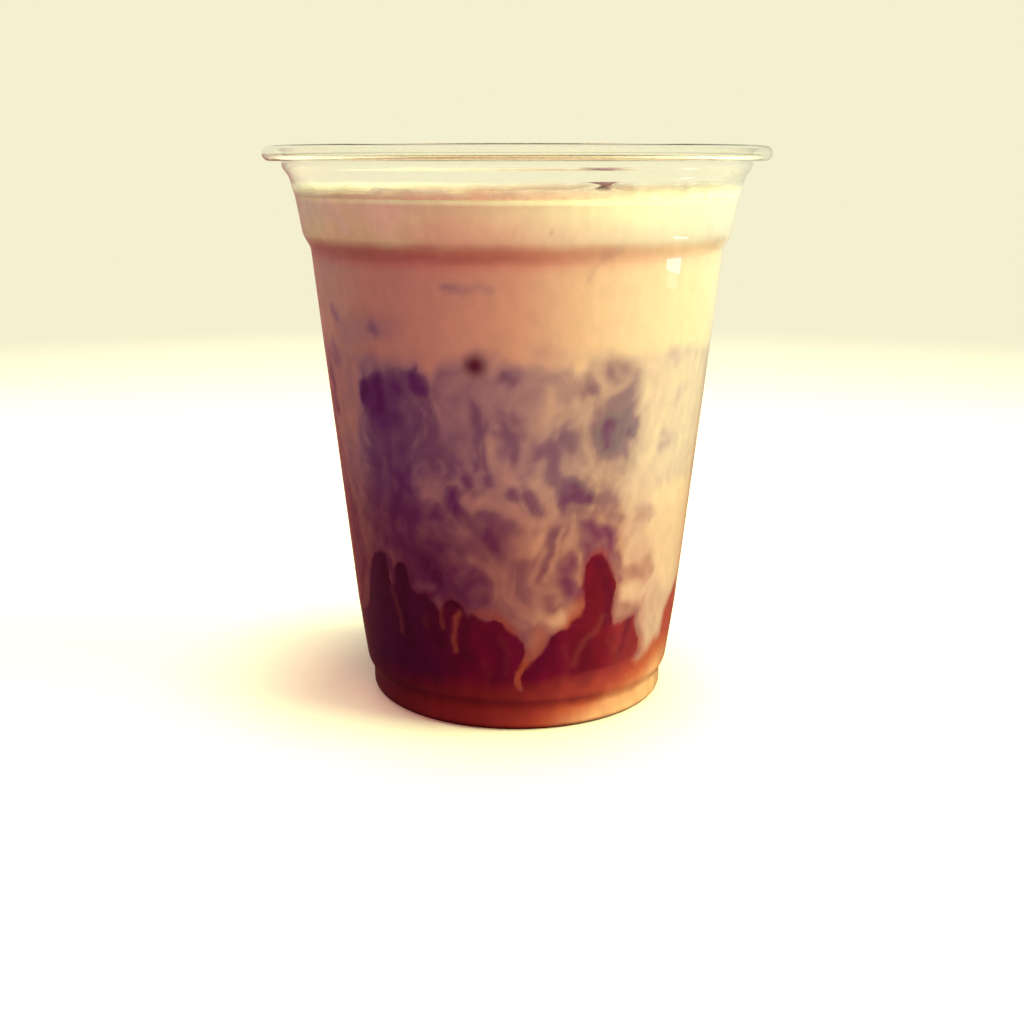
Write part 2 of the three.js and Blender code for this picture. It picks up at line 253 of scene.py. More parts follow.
# The marbling, each area painted over those before it: softness in millimetres, how much coffee
# there is in the milk, outline in pixels.
MARBLED_AREAS = (
    (2.4, 0.28, ((336, 317), (360, 313), (398, 318), (396, 342), (340, 346))),
    (1.8, 0.28, (
        (335, 350), (360, 352), (361, 400), (358, 440), (362, 480), (362, 530), (366, 545), (360, 560),
        (364, 600), (352, 590), (344, 500), (334, 400),
    )),
    (2.0, 0.24, (
        (644, 352), (642, 400), (643, 440), (634, 466), (621, 488), (620, 520), (622, 545), (620, 566),
        (640, 600), (641, 620), (640, 664), (676, 600), (686, 500), (700, 400), (704, 352),
    )),
    (2.0, 0.0, ((646, 500), (664, 482), (694, 480), (688, 540), (674, 592), (660, 584), (648, 540))),
    (1.6, 0.50, (
        (332, 436), (352, 430), (359, 450), (362, 490), (368, 530), (368, 590), (358, 604), (346, 560),
        (338, 500),
    )),
    (1.6, 1.15, ((336, 486), (350, 482), (360, 520), (368, 556), (367, 600), (358, 606), (346, 560))),
    (1.5, 0.08, ((415, 352), (440, 350), (437, 370), (431, 380), (422, 368))),
    (1.5, 0.1, ((566, 358), (590, 354), (587, 370), (575, 378), (569, 370))),
    (1.4, 0.45, ((466, 356), (478, 350), (487, 360), (486, 376), (468, 378))),
    (2.2, 1.25, (
        (374, 377), (392, 371), (408, 384), (412, 420), (414, 460), (416, 500), (404, 520), (400, 550),
        (378, 545), (372, 500), (370, 450), (366, 410),
    )),
    (1.3, 1.6, (
        (362, 385), (366, 378), (375, 376), (388, 380), (398, 386), (399, 398), (398, 410), (402, 418),
        (396, 424), (386, 428), (378, 424), (368, 410),
    )),
    (1.0, 1.35, ((409, 378), (415, 376), (421, 384), (424, 392), (420, 395), (414, 388))),
    (2.0, 1.02, ((412, 395), (430, 400), (440, 440), (448, 470), (430, 476), (412, 478), (410, 430))),
    (1.5, 0.66, ((436, 405), (455, 402), (466, 420), (466, 440), (455, 440), (440, 438), (434, 420))),
    (1.5, 0.78, ((436, 458), (450, 455), (464, 458), (462, 470), (445, 472))),
    (1.3, 0.95, (
        (471, 400), (478, 406), (487, 425), (489, 440), (486, 470), (476, 472), (473, 440), (471, 420),
    )),
    (1.8, 0.95, (
        (499, 400), (512, 408), (521, 420), (523, 435), (519, 452), (515, 460), (503, 455), (500, 440),
        (498, 420),
    )),
    (1.8, 0.9, ((498, 372), (508, 366), (520, 374), (530, 382), (526, 392), (515, 392), (502, 382))),
    (1.5, 0.42, ((534, 410), (545, 400), (566, 408), (568, 416), (552, 420), (540, 434), (532, 432))),
    (1.5, 0.22, ((545, 388), (552, 388), (555, 402), (546, 412), (543, 400))),
    (1.5, 0.42, ((573, 400), (592, 400), (588, 420), (582, 432), (575, 420))),
    (1.6, 1.0, (
        (553, 432), (562, 426), (572, 438), (573, 450), (560, 455), (543, 456), (535, 458), (540, 446),
    )),
    (1.8, 1.0, (
        (596, 415), (610, 402), (632, 384), (636, 400), (636, 425), (628, 440), (626, 456), (598, 460),
        (594, 445), (592, 430),
    )),
    (1.4, 1.6, (
        (597, 434), (603, 424), (612, 417), (626, 412), (633, 421), (633, 433), (622, 436), (619, 447),
        (612, 452), (602, 452), (598, 443),
    )),
    (1.6, 0.72, ((606, 364), (622, 358), (634, 362), (638, 374), (632, 382), (610, 384), (600, 376))),
    (1.2, 0.88, ((580, 386), (588, 380), (600, 383), (597, 391), (583, 395))),
    (1.5, 0.3, ((508, 466), (514, 474), (516, 482), (506, 490), (500, 480), (498, 470))),
    (1.5, 0.25, ((528, 480), (538, 478), (546, 492), (548, 504), (540, 500), (530, 490))),
    (1.4, 0.4, ((422, 486), (432, 482), (440, 486), (440, 500), (432, 502), (422, 498))),
    (1.3, 1.75, ((448, 488), (457, 488), (463, 500), (465, 514), (458, 520), (449, 510))),
    (1.5, 0.95, (
        (462, 512), (480, 510), (495, 514), (512, 522), (518, 528), (510, 540), (508, 556), (500, 560),
        (488, 552), (474, 538), (465, 525),
    )),
    (1.0, 1.35, ((484, 526), (490, 526), (497, 540), (499, 549), (490, 547), (484, 538))),
    (1.2, 0.62, ((466, 554), (484, 556), (493, 562), (488, 568), (472, 566))),
    (1.2, 0.45, ((515, 540), (522, 538), (528, 548), (528, 560), (518, 552))),
    (1.2, 0.15, ((528, 556), (527, 546), (534, 535), (546, 532), (543, 545), (540, 558), (534, 562))),
    (1.1, 1.6, (
        (557, 484), (564, 479), (576, 480), (584, 485), (588, 492), (597, 496), (605, 501), (597, 504),
        (584, 502), (573, 501), (567, 505), (562, 514), (559, 504), (558, 494),
    )),
    (1.1, 0.62, ((563, 522), (572, 517), (576, 528), (573, 538), (564, 539))),
    (1.3, 1.55, (
        (580, 521), (590, 518), (602, 525), (614, 530), (617, 540), (616, 556), (604, 550), (598, 553),
        (590, 562), (584, 556), (581, 540),
    )),
    (1.0, 1.6, ((596, 532), (606, 529), (613, 534), (613, 542), (602, 543), (594, 548))),
    (1.5, 1.45, (
        (558, 570), (565, 560), (571, 552), (577, 560), (574, 572), (575, 584), (578, 600), (566, 594),
        (559, 584),
    )),
    (1.2, 1.0, ((614, 555), (620, 560), (632, 574), (622, 582), (619, 592), (616, 575))),
    (1.3, 0.2, ((623, 546), (636, 534), (640, 545), (634, 560), (626, 562), (622, 556))),
    (1.3, 0.15, ((636, 490), (646, 486), (650, 494), (644, 500))),
    (1.5, 0.02, ((656, 535), (668, 505), (680, 480), (682, 520), (676, 560), (668, 585), (660, 560))),
    (1.2, 0.55, ((640, 560), (650, 554), (652, 570), (646, 580), (638, 572))),
    (1.3, 0.2, ((618, 590), (630, 586), (640, 592), (636, 600), (622, 598))),
    (1.2, 0.5, ((636, 505), (648, 505), (655, 515), (646, 525), (634, 520))),
    (1.2, 0.7, ((618, 602), (636, 600), (640, 612), (634, 614), (620, 612))),
    (1.4, 0.1, ((536, 612), (548, 618), (562, 614), (566, 622), (552, 626), (536, 622))),
    (1.4, 0.45, ((496, 572), (508, 570), (512, 585), (506, 600), (494, 602), (494, 585))),
    (2.0, 1.5, (
        (396, 500), (412, 500), (424, 506), (438, 508), (440, 518), (430, 524), (436, 540), (450, 545),
        (458, 560), (470, 575), (480, 582), (482, 596), (468, 612), (440, 600), (412, 585), (405, 560),
        (392, 548),
    )),
    (1.2, 1.0, ((416, 526), (428, 524), (432, 530), (424, 540), (416, 538))),
    (1.4, 1.3, (
        (440, 506), (447, 520), (452, 532), (462, 545), (470, 556), (458, 560), (448, 546), (440, 530),
    )),
    (1.4, 1.3, ((462, 560), (484, 570), (492, 584), (490, 606), (476, 612), (464, 588))),
    (1.0, 1.9, (
        (404, 556), (412, 560), (420, 574), (430, 582), (440, 590), (438, 600), (424, 594), (410, 588),
        (404, 570),
    )),
    (1.4, 0.2, ((530, 348), (566, 348), (566, 364), (548, 366), (534, 362))),
    (1.2, 0.3, ((484, 350), (496, 352), (494, 376), (485, 378))),
    (1.2, 1.3, ((577, 602), (577, 568), (588, 548), (602, 545), (612, 556), (600, 602))),
    (1.2, 2.0, (
        (416, 562), (422, 556), (438, 558), (444, 572), (456, 584), (458, 592), (446, 588), (430, 578),
        (418, 574),
    )),
    (0.9, 1.75, ((408, 373), (416, 369), (423, 376), (427, 388), (424, 397), (415, 392), (409, 384))),
    (1.2, 0.6, ((612, 568), (628, 566), (646, 569), (642, 575), (630, 577), (616, 576))),
    (1.6, 0.1, ((616, 585), (625, 579), (638, 582), (642, 591), (634, 601), (621, 597))),
    (1.2, -0.05, ((550, 622), (561, 612), (569, 617), (566, 627), (555, 630))),
)

# Finer marks painted over the areas: width in millimetres, how much coffee, pixels.
MARBLED_STROKES = (
    (1.0, 2.4, ((366, 386), (366, 396))),
    (1.1, 2.5, ((377, 384), (381, 396), (380, 410))),
    (1.2, 1.5, ((397, 470), (402, 485), (401, 500))),
    (1.0, 1.1, ((418, 424), (424, 434), (428, 441))),
    (1.4, 0.95, ((556, 455), (552, 470), (556, 482))),
    (0.9, 0.8, ((612, 372), (616, 378))),
    (1.0, 0.5, ((664, 432), (668, 440), (660, 446))),
    (0.8, 1.1, ((467, 480), (469, 484))),
    (0.9, 0.95, ((488, 481), (490, 483))),
    (0.9, 0.95, ((404, 376), (406, 390), (404, 404))),
    (0.9, 2.0, ((391, 562), (394, 576), (396, 588))),
    (0.9, 1.7, ((366, 560), (364, 580), (364, 604))),
    (1.6, 0.82, ((460, 440), (459, 456), (456, 472))),
    (1.1, 0.35, (
        (466, 500), (478, 504), (492, 504), (504, 506), (518, 512), (532, 521), (544, 524), (551, 516),
        (552, 508),
    )),
    (1.3, 0.95, ((510, 496), (520, 496), (530, 500), (536, 509))),
    (1.2, 0.85, ((448, 523), (456, 534), (468, 545), (482, 556))),
    (1.4, 1.0, ((556, 536), (551, 550), (545, 563), (538, 577))),
    (0.5, 0.40, ((562, 530), (555, 560), (545, 582))),
    (0.5, 0.45, ((579, 554), (578, 584))),
    (0.7, 1.4, ((488, 534), (491, 546))),
    (0.8, 0.6, ((474, 560), (484, 566), (497, 580), (501, 600))),
    (0.9, 1.9, ((576, 488), (577, 494), (588, 500))),
    (1.2, 0.8, ((605, 500), (613, 503))),
    (1.0, 0.8, ((568, 512), (586, 510), (604, 513), (618, 518))),
    (0.8, 0.6, ((580, 566), (579, 578))),
    (1.3, 0.8, ((520, 565), (519, 590), (526, 600))),
    (1.0, 0.9, ((551, 600), (552, 609))),
    (0.9, 1.15, ((414, 584), (424, 585), (433, 588))),
    (0.6, 0.45, ((492, 440), (494, 460), (500, 470))),
    (0.6, 0.45, ((575, 516), (572, 536), (564, 548))),
    (0.6, 0.5, ((530, 584), (536, 572), (546, 552))),
    (0.5, 0.5, ((500, 590), (510, 606), (528, 618))),
    (0.9, 0.35, ((678, 390), (676, 404))),
    (1.2, 0.45, ((674, 352), (677, 360))),
    (1.4, 0.62, ((335, 344), (339, 360))),
    (0.9, 0.75, ((372, 327), (377, 330))),
    (1.0, 0.6, ((334, 311), (338, 317))),
    (0.7, 0.50, ((446, 288), (456, 288), (464, 289))),
    (0.8, 0.26, ((464, 289), (480, 290), (490, 291))),
    (0.6, 0.16, ((606, 250), (598, 266), (588, 280))),
    (0.8, 0.2, ((606, 254), (619, 250))),
)

# Areas drawn for the back: how many, heights, size, how much coffee, span of angle.
DRAWN_AREAS = (
    (50, (34, 71), (2.0, 5.5), (0.3, 1.4), BACK_SPAN),
    (16, (30, 72), (2.0, 4.0), (0.0, 0.3), EDGE_SPAN),
    (12, (30, 70), (1.2, 2.6), (0.6, 1.1), EDGE_SPAN),
)

# Strokes drawn for the back, as marks in the milk and as dark and milky lines in the coffee: how
# many, heights, width, strength, length, how much their heading strays from straight down.
DRAWN_STROKES = (
    (50, (32, 76), (0.9, 1.8), (0.8, 1.4), (4, 14), 0.5),
    (36, (30, 72), (0.8, 1.5), (0.35, 0.6), (5, 13), 0.6),
)
DRAWN_DARK_LINES = (30, (12, 34), (0.8, 1.5), (0.4, 0.8), (3, 8), 0.35)
DRAWN_MILK_LINES = (9, (14, 26), (0.4, 0.7), (0.15, 0.4), (3, 8), 0.3)
MARBLING_SEED = 7
LINES_SEED = 11
BUBBLES_SEED = 23

# Small crisp dark spots: radius in millimetres, how dark, pixel.
DARK_SPOTS = (
    (1.75, 1.0, (475, 366)),
    (0.28, 0.5, (515, 235)),
    (0.20, 0.35, (570, 236)),
    (0.24, 0.45, (613, 279)),
    (0.18, 0.35, (596, 294)),
    (0.20, 0.3, (551, 232)),
)

# Pale soft places behind the collar, where ice lies against the wall.
PALE_STROKES = (
    (0.9, 0.70, ((327, 202), (335, 212), (346, 230))),
    (1.9, 0.5, ((384, 212), (385, 228))),
    (0.8, 0.25, ((306, 200), (311, 228))),
)


def smoothstep(value, low, high):
    """0 up to low, 1 from high on, and smooth between."""
    t = np.clip((value - low) / (high - low), 0, 1)
    return t * t * (3 - 2 * t)


def band(value, low, start, end, high):
    """1 from start to end, and smoothly down to 0 at low and at high."""
    return smoothstep(value, low, start) * (1 - smoothstep(value, end, high))


def blend(a, b, share):
    """Colours a and b, mixed point by point."""
    share = np.asarray(share)[..., None]
    return np.asarray(a) * (1 - share) + np.asarray(b) * share


def tinted(tone, tint, share):
    """Colours multiplied by a share of the tint, point by point."""
    return tone * blend((1, 1, 1), tint, share)


# Outline of the cup

def arc(centre, radius, start, end, steps):
    angles = np.radians(np.linspace(start, end, steps + 1))
    return [(centre[0] + radius * math.cos(a), centre[1] + radius * math.sin(a)) for a in angles]


def cup_mid_line():
    """The middle of the sheet's thickness as (radius, height), from the axis to the rolled end."""
    half = WALL / 2
    rounding = FOOT[0] - half - STANDING_OUTER
    roll = RIM_ROLL - half
    stations = (FOOT, STEP, KINK, SHOULDER_LOW, SHOULDER_TOP, COLLAR_TOP, LID_RECESS, NECK)
    return [
        (0, PUNT[1]),
        (PUNT[0] - half, PUNT[1]),
        (PUNT_FOOT[0] - half, PUNT_FOOT[1]),
        (STANDING_INNER, half),
        *arc((STANDING_OUTER, half + rounding), rounding, -90, 0, 6),
        *[(radius - half, z) for radius, z in stations],
        *arc((NECK[0] - half + roll, CUP_HEIGHT - RIM_ROLL), roll, 180, 90, 8),
        *arc((RIM_RADIUS - RIM_ROLL, CUP_HEIGHT - RIM_ROLL), roll, 90, -135, 16),
    ]


def rounded(line, reach, steps=3):
    """The line with each clear corner replaced by a curve that starts at most reach before it."""
    line = [np.array(p, float) for p in line]
    out = [line[0]]
    for before, corner, after in zip(line, line[1:], line[2:]):
        arriving = corner - before
        leaving = after - corner
        a = np.linalg.norm(arriving)
        b = np.linalg.norm(leaving)
        turn = math.acos(np.clip(arriving @ leaving / (a * b), -1, 1))
        cut = min(reach, 0.4 * a, 0.4 * b)
        if turn < math.radians(3) or a < 0.8 * reach or b < 0.8 * reach:
            out.append(corner)
            continue
        start = corner - arriving / a * cut
        end = corner + leaving / b * cut
        for t in np.linspace(0, 1, steps + 1):
            out.append((1 - t) ** 2 * start + 2 * t * (1 - t) * corner + t ** 2 * end)
    return [*out, line[-1]]


def offset(line, distance):
    """The line moved sideways, to the inside of the cup if positive."""
    line = np.array(line, float)
    steps = np.diff(line, axis=0)
    steps /= np.linalg.norm(steps, axis=1)[:, None]
    arriving = np.vstack([steps[:1], steps])
    leaving = np.vstack([steps, steps[-1:]])
    along = arriving + leaving
    along /= np.linalg.norm(along, axis=1)[:, None]
    mitre = distance / np.sum(along * leaving, axis=1)
    return line + np.stack([-along[:, 1], along[:, 0]], axis=1) * mitre[:, None]


def propped(line):
    """The line with a point more near each end of its long stretches, which then shade flat."""
    out = [line[0]]
    for start, end in zip(line, line[1:]):
        length = np.linalg.norm(end - start)
        if length > 3 * PROP:
            out.append(start + (end - start) * PROP / length)
            out.append(end - (end - start) * PROP / length)
        out.append(end)
    return out


MID_LINE = rounded(cup_mid_line(), FILLET)
SKIN_LINE = offset(MID_LINE, WALL / 2 - BITE)
OUTER_LINE = offset(MID_LINE, -WALL / 2)
FOOT_CORNER = int(np.argmax((SKIN_LINE[:, 0] > STANDING_OUTER) & (SKIN_LINE[:, 1] > FOOT[1] - 1)))
NECK_CORNER = int(np.argmax(SKIN_LINE[:, 1] > LID_RECESS[1]))


def skin_radius(z):
    """The radius of the drink's side at a height."""
    wall = SKIN_LINE[FOOT_CORNER:NECK_CORNER + 1]
    return np.interp(z, wall[:, 1], wall[:, 0])


# Meshes

def mesh_object(name, points, faces):
    """A smooth object of points in millimetres."""
    mesh = bpy.data.meshes.new(name)
    mesh.from_pydata([tuple(p) for p in np.asarray(points) * MM], [], faces)
    mesh.polygons.foreach_set("use_smooth", [True] * len(mesh.polygons))
    mesh.validate()
    thing = bpy.data.objects.new(name, mesh)
    bpy.context.collection.objects.link(thing)
    return thing


def ring_points(profile, columns):
    """A ring of points round the axis for each (radius, height) of the profile."""
    angles = np.radians(np.arange(columns) * 360 / columns)
    rings = [
        np.stack([r * np.sin(angles), -r * np.cos(angles), np.full(columns, z)], axis=1)
        for r, z in profile
    ]
    return np.vstack(rings)


def ring_faces(pairs, columns):
    """The squares between each pair of rings, which are given by their numbers."""
    faces = []
    for low, high in pairs:
        a, b = low * columns, high * columns
        for j in range(columns):
            k = (j + 1) % columns
            faces.append((a + j, a + k, b + k, b + j))
    return faces


def lathe(name, profile, columns):
    """The closed body of a profile that starts and ends on the axis."""
    rings = len(profile) - 2
    ends = [(0, 0, profile[0][1]), (0, 0, profile[-1][1])]
    points = np.vstack([ring_points(profile[1:-1], columns), ends])
    faces = ring_faces([(i, i + 1) for i in range(rings - 1)], columns)
    first = rings * columns
    last_ring = first - columns
    for j in range(columns):
        k = (j + 1) % columns
        faces.append((first, k, j))
        faces.append((last_ring + j, last_ring + k, first + 1))
    return mesh_object(name, points, faces)


def ring_body(name, profile, columns):
    """The closed body of a closed profile that stays clear of the axis."""
    count = len(profile)
    faces = ring_faces([(i, (i + 1) % count) for i in range(count)], columns)
    return mesh_object(name, ring_points(profile, columns), faces)


def drink_profile():
    """The drink's outline: under it, up its side, and over its top to the axis."""
    under = [tuple(p) for p in SKIN_LINE[:FOOT_CORNER]]
    edge = DRINK_LEVEL + MENISCUS_RISE
    side_heights = [
        *np.arange(SKIN_LINE[FOOT_CORNER][1], SWIRL_LEVEL, MARBLED_STEP),
        *np.arange(SWIRL_LEVEL, edge - MARBLED_STEP, MILKY_STEP),
        edge,
    ]
    side = [(float(skin_radius(z)), float(z)) for z in side_heights]
    top_radius = side[-1][0]
    inward = [0.2, 0.5, 0.9, 1.5, *np.arange(2.6, top_radius - 1, TOP_STEP)]
    top = [
        (top_radius - d, DRINK_LEVEL + MENISCUS_RISE * math.exp(-3 * d / MENISCUS_WIDTH))
        for d in inward
    ]
    return [*under, *side, *top, (0, DRINK_LEVEL)]


def cube_grid(count):
    """The surface of a cube of count cells a side, as whole-numbered points and its squares."""
    index = {}
    faces = []
    for axis in range(3):
        for level in (0, count):
            for i in range(count):
                for j in range(count):
                    square = []
                    for a, b in ((i, j), (i + 1, j), (i + 1, j + 1), (i, j + 1)):
                        key = [0, 0, 0]
                        key[axis] = level
                        key[(axis + 1) % 3] = a
                        key[(axis + 2) % 3] = b
                        square.append(index.setdefault(tuple(key), len(index)))
                    faces.append(square if level else square[::-1])
    return np.array(list(index), float), faces


def rounded_cube(size, radius, bends, flats):
    """A cube with rounded edges: each side has bends steps on each rounding and flats between."""
    count = 2 * bends + flats
    grid, faces = cube_grid(count)
    offset_from_middle = grid - count / 2
    side = np.sign(offset_from_middle)
    inner = np.clip(offset_from_middle / (flats / 2), -1, 1)
    bend = side * np.maximum(np.abs(offset_from_middle) - flats / 2, 0) / bends
    direction = np.tan(bend * math.pi / 4)
    direction /= np.linalg.norm(direction, axis=1)[:, None]
    return inner * (np.array(size) / 2 - radius) + direction * radius, faces


def turned(points, lean, turn):
    """The points turned about X, then Y, then Z."""
    matrix = np.array(Euler([math.radians(a) for a in (*lean, turn)], "XYZ").to_matrix())
    return points @ matrix.T


def around(angle, radius):
    """Across and depth of a place at an angle and distance from the axis."""
    return radius * math.sin(math.radians(angle)), -radius * math.cos(math.radians(angle))


def ice_cube(name, block, grow=0.0, bends=3, flats=6, dents=0.0):
    """A melting cube in its place: its faces are hollowed a little by a wave, as in the solids."""
    size, angle, out, turn, lean, tip = block
    size = [side + 2 * grow for side in size]
    points, faces = rounded_cube(size, ICE_ROUNDING + grow, bends, flats)
    x, y, z = points.T
    wave = np.sin(x * 0.31 + turn) * np.sin(y * 0.37) * np.cos(z * 0.29)
    points = points * (1 - ICE_MELT * (1 + wave) / size[0])[:, None]
    outward = points / np.linalg.norm(points, axis=1)[:, None]
    points += outward * (noise_at(points, 5.0, turn) * dents)[:, None]
    points = turned(points, lean, turn)
    x, y = around(angle, out)
    points += (x, y, DRINK_LEVEL + tip + grow - points[:, 2].max())
    return mesh_object(name, points, faces)


# From the photograph's pixels to the wall of the cup

def wall_places(pixels):
    """(angle, height) of the place on the wall that each pixel shows."""
    down = math.radians(CAMERA_DOWN)
    forward = np.array([0, math.cos(down), -math.sin(down)])
    upward = np.array([0, math.sin(down), math.cos(down)])
    eye = np.array(CAMERA_PLACE)
    along = np.linspace(*SIGHT_SPAN, SIGHT_STEPS + 1)
    places = []
    for u, v in pixels:
        ray = forward + np.array([1, 0, 0]) * (u - IMAGE_SIZE / 2) / FOCAL_PIXELS
        ray = ray + upward * (IMAGE_SIZE / 2 - v) / FOCAL_PIXELS
        path = eye + along[:, None] * ray
        gap = np.hypot(path[:, 0], path[:, 1]) - skin_radius(path[:, 2])
        hit = int(np.argmax(gap < 0)) if (gap < 0).any() else int(np.argmin(gap))
        x, y, z = path[hit]
        places.append((math.degrees(math.atan2(x, -y)), z))
    return np.array(places)


def unrolled(angles, heights):
    """Points of the wall laid flat: distance round its middle and height, in millimetres."""
    return np.stack([np.radians(angles) * FLAT_RADIUS, heights], axis=-1)


def distance_to(points, line):
    """Distance of each flat point from a line of flat points."""
    if len(line) == 1:
        return np.linalg.norm(points - line[0], axis=1)
    best = np.full(len(points), np.inf)
    for a, b in zip(line, line[1:]):
        step = b - a
        t = np.clip(((points - a) @ step) / max(step @ step, 1e-9), 0, 1)
        best = np.minimum(best, np.linalg.norm(points - a - t[:, None] * step, axis=1))
    return best


def depth_in(points, ring):
    """Signed distance of flat points from a closed outline, positive inside it."""
    inside = np.zeros(len(points), bool)
    for (s0, z0), (s1, z1) in zip(ring, np.roll(ring, -1, axis=0)):
        if z0 != z1:
            crosses = (z0 > points[:, 1]) != (z1 > points[:, 1])
            at = s0 + (points[:, 1] - z0) * (s1 - s0) / (z1 - z0)
            inside ^= crosses & (points[:, 0] < at)
    away = distance_to(points, np.vstack([ring, ring[:1]]))
    return np.where(inside, away, -away)


def near_points(points, line, reach):
    """Which flat points lie within reach of the line's box."""
    low = line.min(axis=0) - reach
    high = line.max(axis=0) + reach
    return np.flatnonzero(((points > low) & (points < high)).all(axis=1))


def covered(points, strokes):
    """For each soft stroke: its level, the flat points near it, and how far it covers them."""
    for width, level, line in strokes:
        near = near_points(points, line, STROKE_REACH * width)
        away = distance_to(points[near], line)
        yield level, near, np.exp(-STROKE_FADE * (away / width) ** STROKE_POWER)


def strokes_field(points, strokes):
    """The sum of soft strokes at each flat point."""
    total = np.zeros(len(points))
    for strength, near, cover in covered(points, strokes):
        total[near] += strength * cover
    return total


def paint_areas(amount, points, areas):
    """Paints soft-edged areas over the amount at each flat point, one after another."""
    for softness, level, ring in areas:
        near = near_points(points, ring, softness)
        cover = smoothstep(depth_in(points[near], ring), -softness, softness)
        amount[near] += (level - amount[near]) * cover


def paint_strokes(amount, points, strokes):
    """Paints soft strokes over the amount at each flat point, one after another."""
    for level, near, cover in covered(points, strokes):
        amount[near] += (level - amount[near]) * cover


def stroked(tone, paint, points, strokes, strength=1.0):
    """Colours with soft strokes of a paint over them."""
    return blend(tone, paint, np.clip(strength * strokes_field(points, strokes), 0, 1))


def from_photo(marks):
    """Marks given by pixels, as marks on the wall laid flat."""
    return [
        (width, strength, unrolled(*wall_places(pixels).T)) for width, strength, pixels in marks
    ]


def drawn_angle(rng, span):
    """An angle drawn from the span, on that side of the seam where its mark shows."""
    angle = rng.uniform(*span)
    return angle - 360 if angle > 360 + SEAM - SEAM_MARGIN else angle


def random_strokes(rng, count, heights, width, strength, length, stray):
    """Strokes like those of the front, spread round the back by a seeded draw."""
    made = []
    for _ in range(count):
        angle = drawn_angle(rng, BACK_SPAN)
        z = rng.uniform(*heights)
        heading = rng.gauss(math.pi / 2, stray)
        steps = rng.randint(2, 4)
        line = [(math.radians(angle) * FLAT_RADIUS, z)]
        for _ in range(steps):
            heading += rng.gauss(0, 0.55)
            stride = rng.uniform(*length) / steps
            line.append((
                line[-1][0] + stride * math.cos(heading),
                line[-1][1] - stride * math.sin(heading),
            ))
        made.append((rng.uniform(*width), rng.uniform(*strength), np.array(line)))
    return made


def random_areas(rng, count, heights, size, level, span):
    """Areas like those of the front, spread round the back by a seeded draw."""
    made = []
    for _ in range(count):
        s = math.radians(drawn_angle(rng, span)) * FLAT_RADIUS
        z = rng.uniform(*heights)
        wide = rng.uniform(*size)
        tall = wide * rng.uniform(0.9, 2.2)
        ring = []
        for corner in range(10):
            a = math.tau * corner / 10
            reach = rng.uniform(0.65, 1.15)
            ring.append((s + wide * reach * math.cos(a), z + tall * reach * math.sin(a)))
        made.append((rng.uniform(0.9, 2.0), rng.uniform(*level), np.array(ring)))
    return made


def turn_of(points):
    """Angle of points from the front, from -180 to 180."""
    return np.degrees(np.arctan2(points[:, 0], -points[:, 1]))


def flat_places(points):
    """Angle, measured from the seam round to the seam, and height of points of the drink."""
    turn = turn_of(points)
    return np.where(turn < SEAM, turn + 360, turn), points[:, 2]


def noise_at(points, scale, shift):
    """Smooth noise of -1 to 1 at points, with features of about scale millimetres."""
    wanted = points / scale + shift
    return np.array([noise.noise(Vector(p)) for p in wanted])


# The coffee's edge all round, which is laid flat and closed underneath

FLAMES_SPAN = (86, 294)
FLAME_PAIRS = 9
FLAME_TIP = 29.5
TONGUE_TIP = 14.5
TIPS_VARY = 4.5
FLAME_SPREAD = 5.2


def back_flames():
    """Angle, height and spread of the flames and the tongues between them, in turn."""
    start, end = FLAMES_SPAN
    step = (end - start) / (2 * FLAME_PAIRS)
    for i in range(2 * FLAME_PAIRS):
        angle = start + step * (i + 0.5 + 0.3 * math.sin(i * 2.3))
        tip = TONGUE_TIP if i % 2 else FLAME_TIP
        yield angle, tip + TIPS_VARY * math.sin(i * 1.7), FLAME_SPREAD + math.sin(i * 3.1)


def back_edge(angle):
    """The height of the coffee's edge at an angle of the back."""
    height = 21.5 - 3.0 * math.sin(math.radians(angle))
    for middle, tip, spread in back_flames():
        share = math.exp(-((abs(angle - middle) / spread) ** 3))
        height += (tip - height) * share
    return height


def coffee_edge():
    """The edge laid flat, from the seam round to the seam."""
    front = wall_places(COFFEE_EDGE)
    left, right = front[0][0], front[-1][0]
    before = [(a, back_edge(a + 360)) for a in np.arange(SEAM - 2, left - 3, 1.5)]
    after = [(a, back_edge(a)) for a in np.arange(right + 3, SEAM + 362, 1.5)]
    edge = unrolled(*np.vstack([before, front, after]).T)
    return np.vstack([edge, [(edge[-1][0] + 20, -30), (edge[0][0] - 20, -30)]])


# The drink's colours, by how much coffee there is in the milk

UPPER_SHADES = (
    (-1.0, (0.62, 0.54, 0.38)),
    (0.0, (0.545, 0.43, 0.32)),
    (0.35, (0.40, 0.32, 0.30)),
    (1.0, (0.18, 0.12, 0.195)),
    (1.8, (0.115, 0.037, 0.16)),
    (2.8, (0.085, 0.015, 0.12)),
)
LOWER_SHADES = (
    (-1.0, (0.58, 0.44, 0.30)),
    (0.0, (0.46, 0.31, 0.235)),
    (0.35, (0.35, 0.215, 0.195)),
    (1.0, (0.195, 0.10, 0.14)),
    (1.8, (0.12, 0.035, 0.11)),
    (2.8, (0.075, 0.010, 0.07)),
)

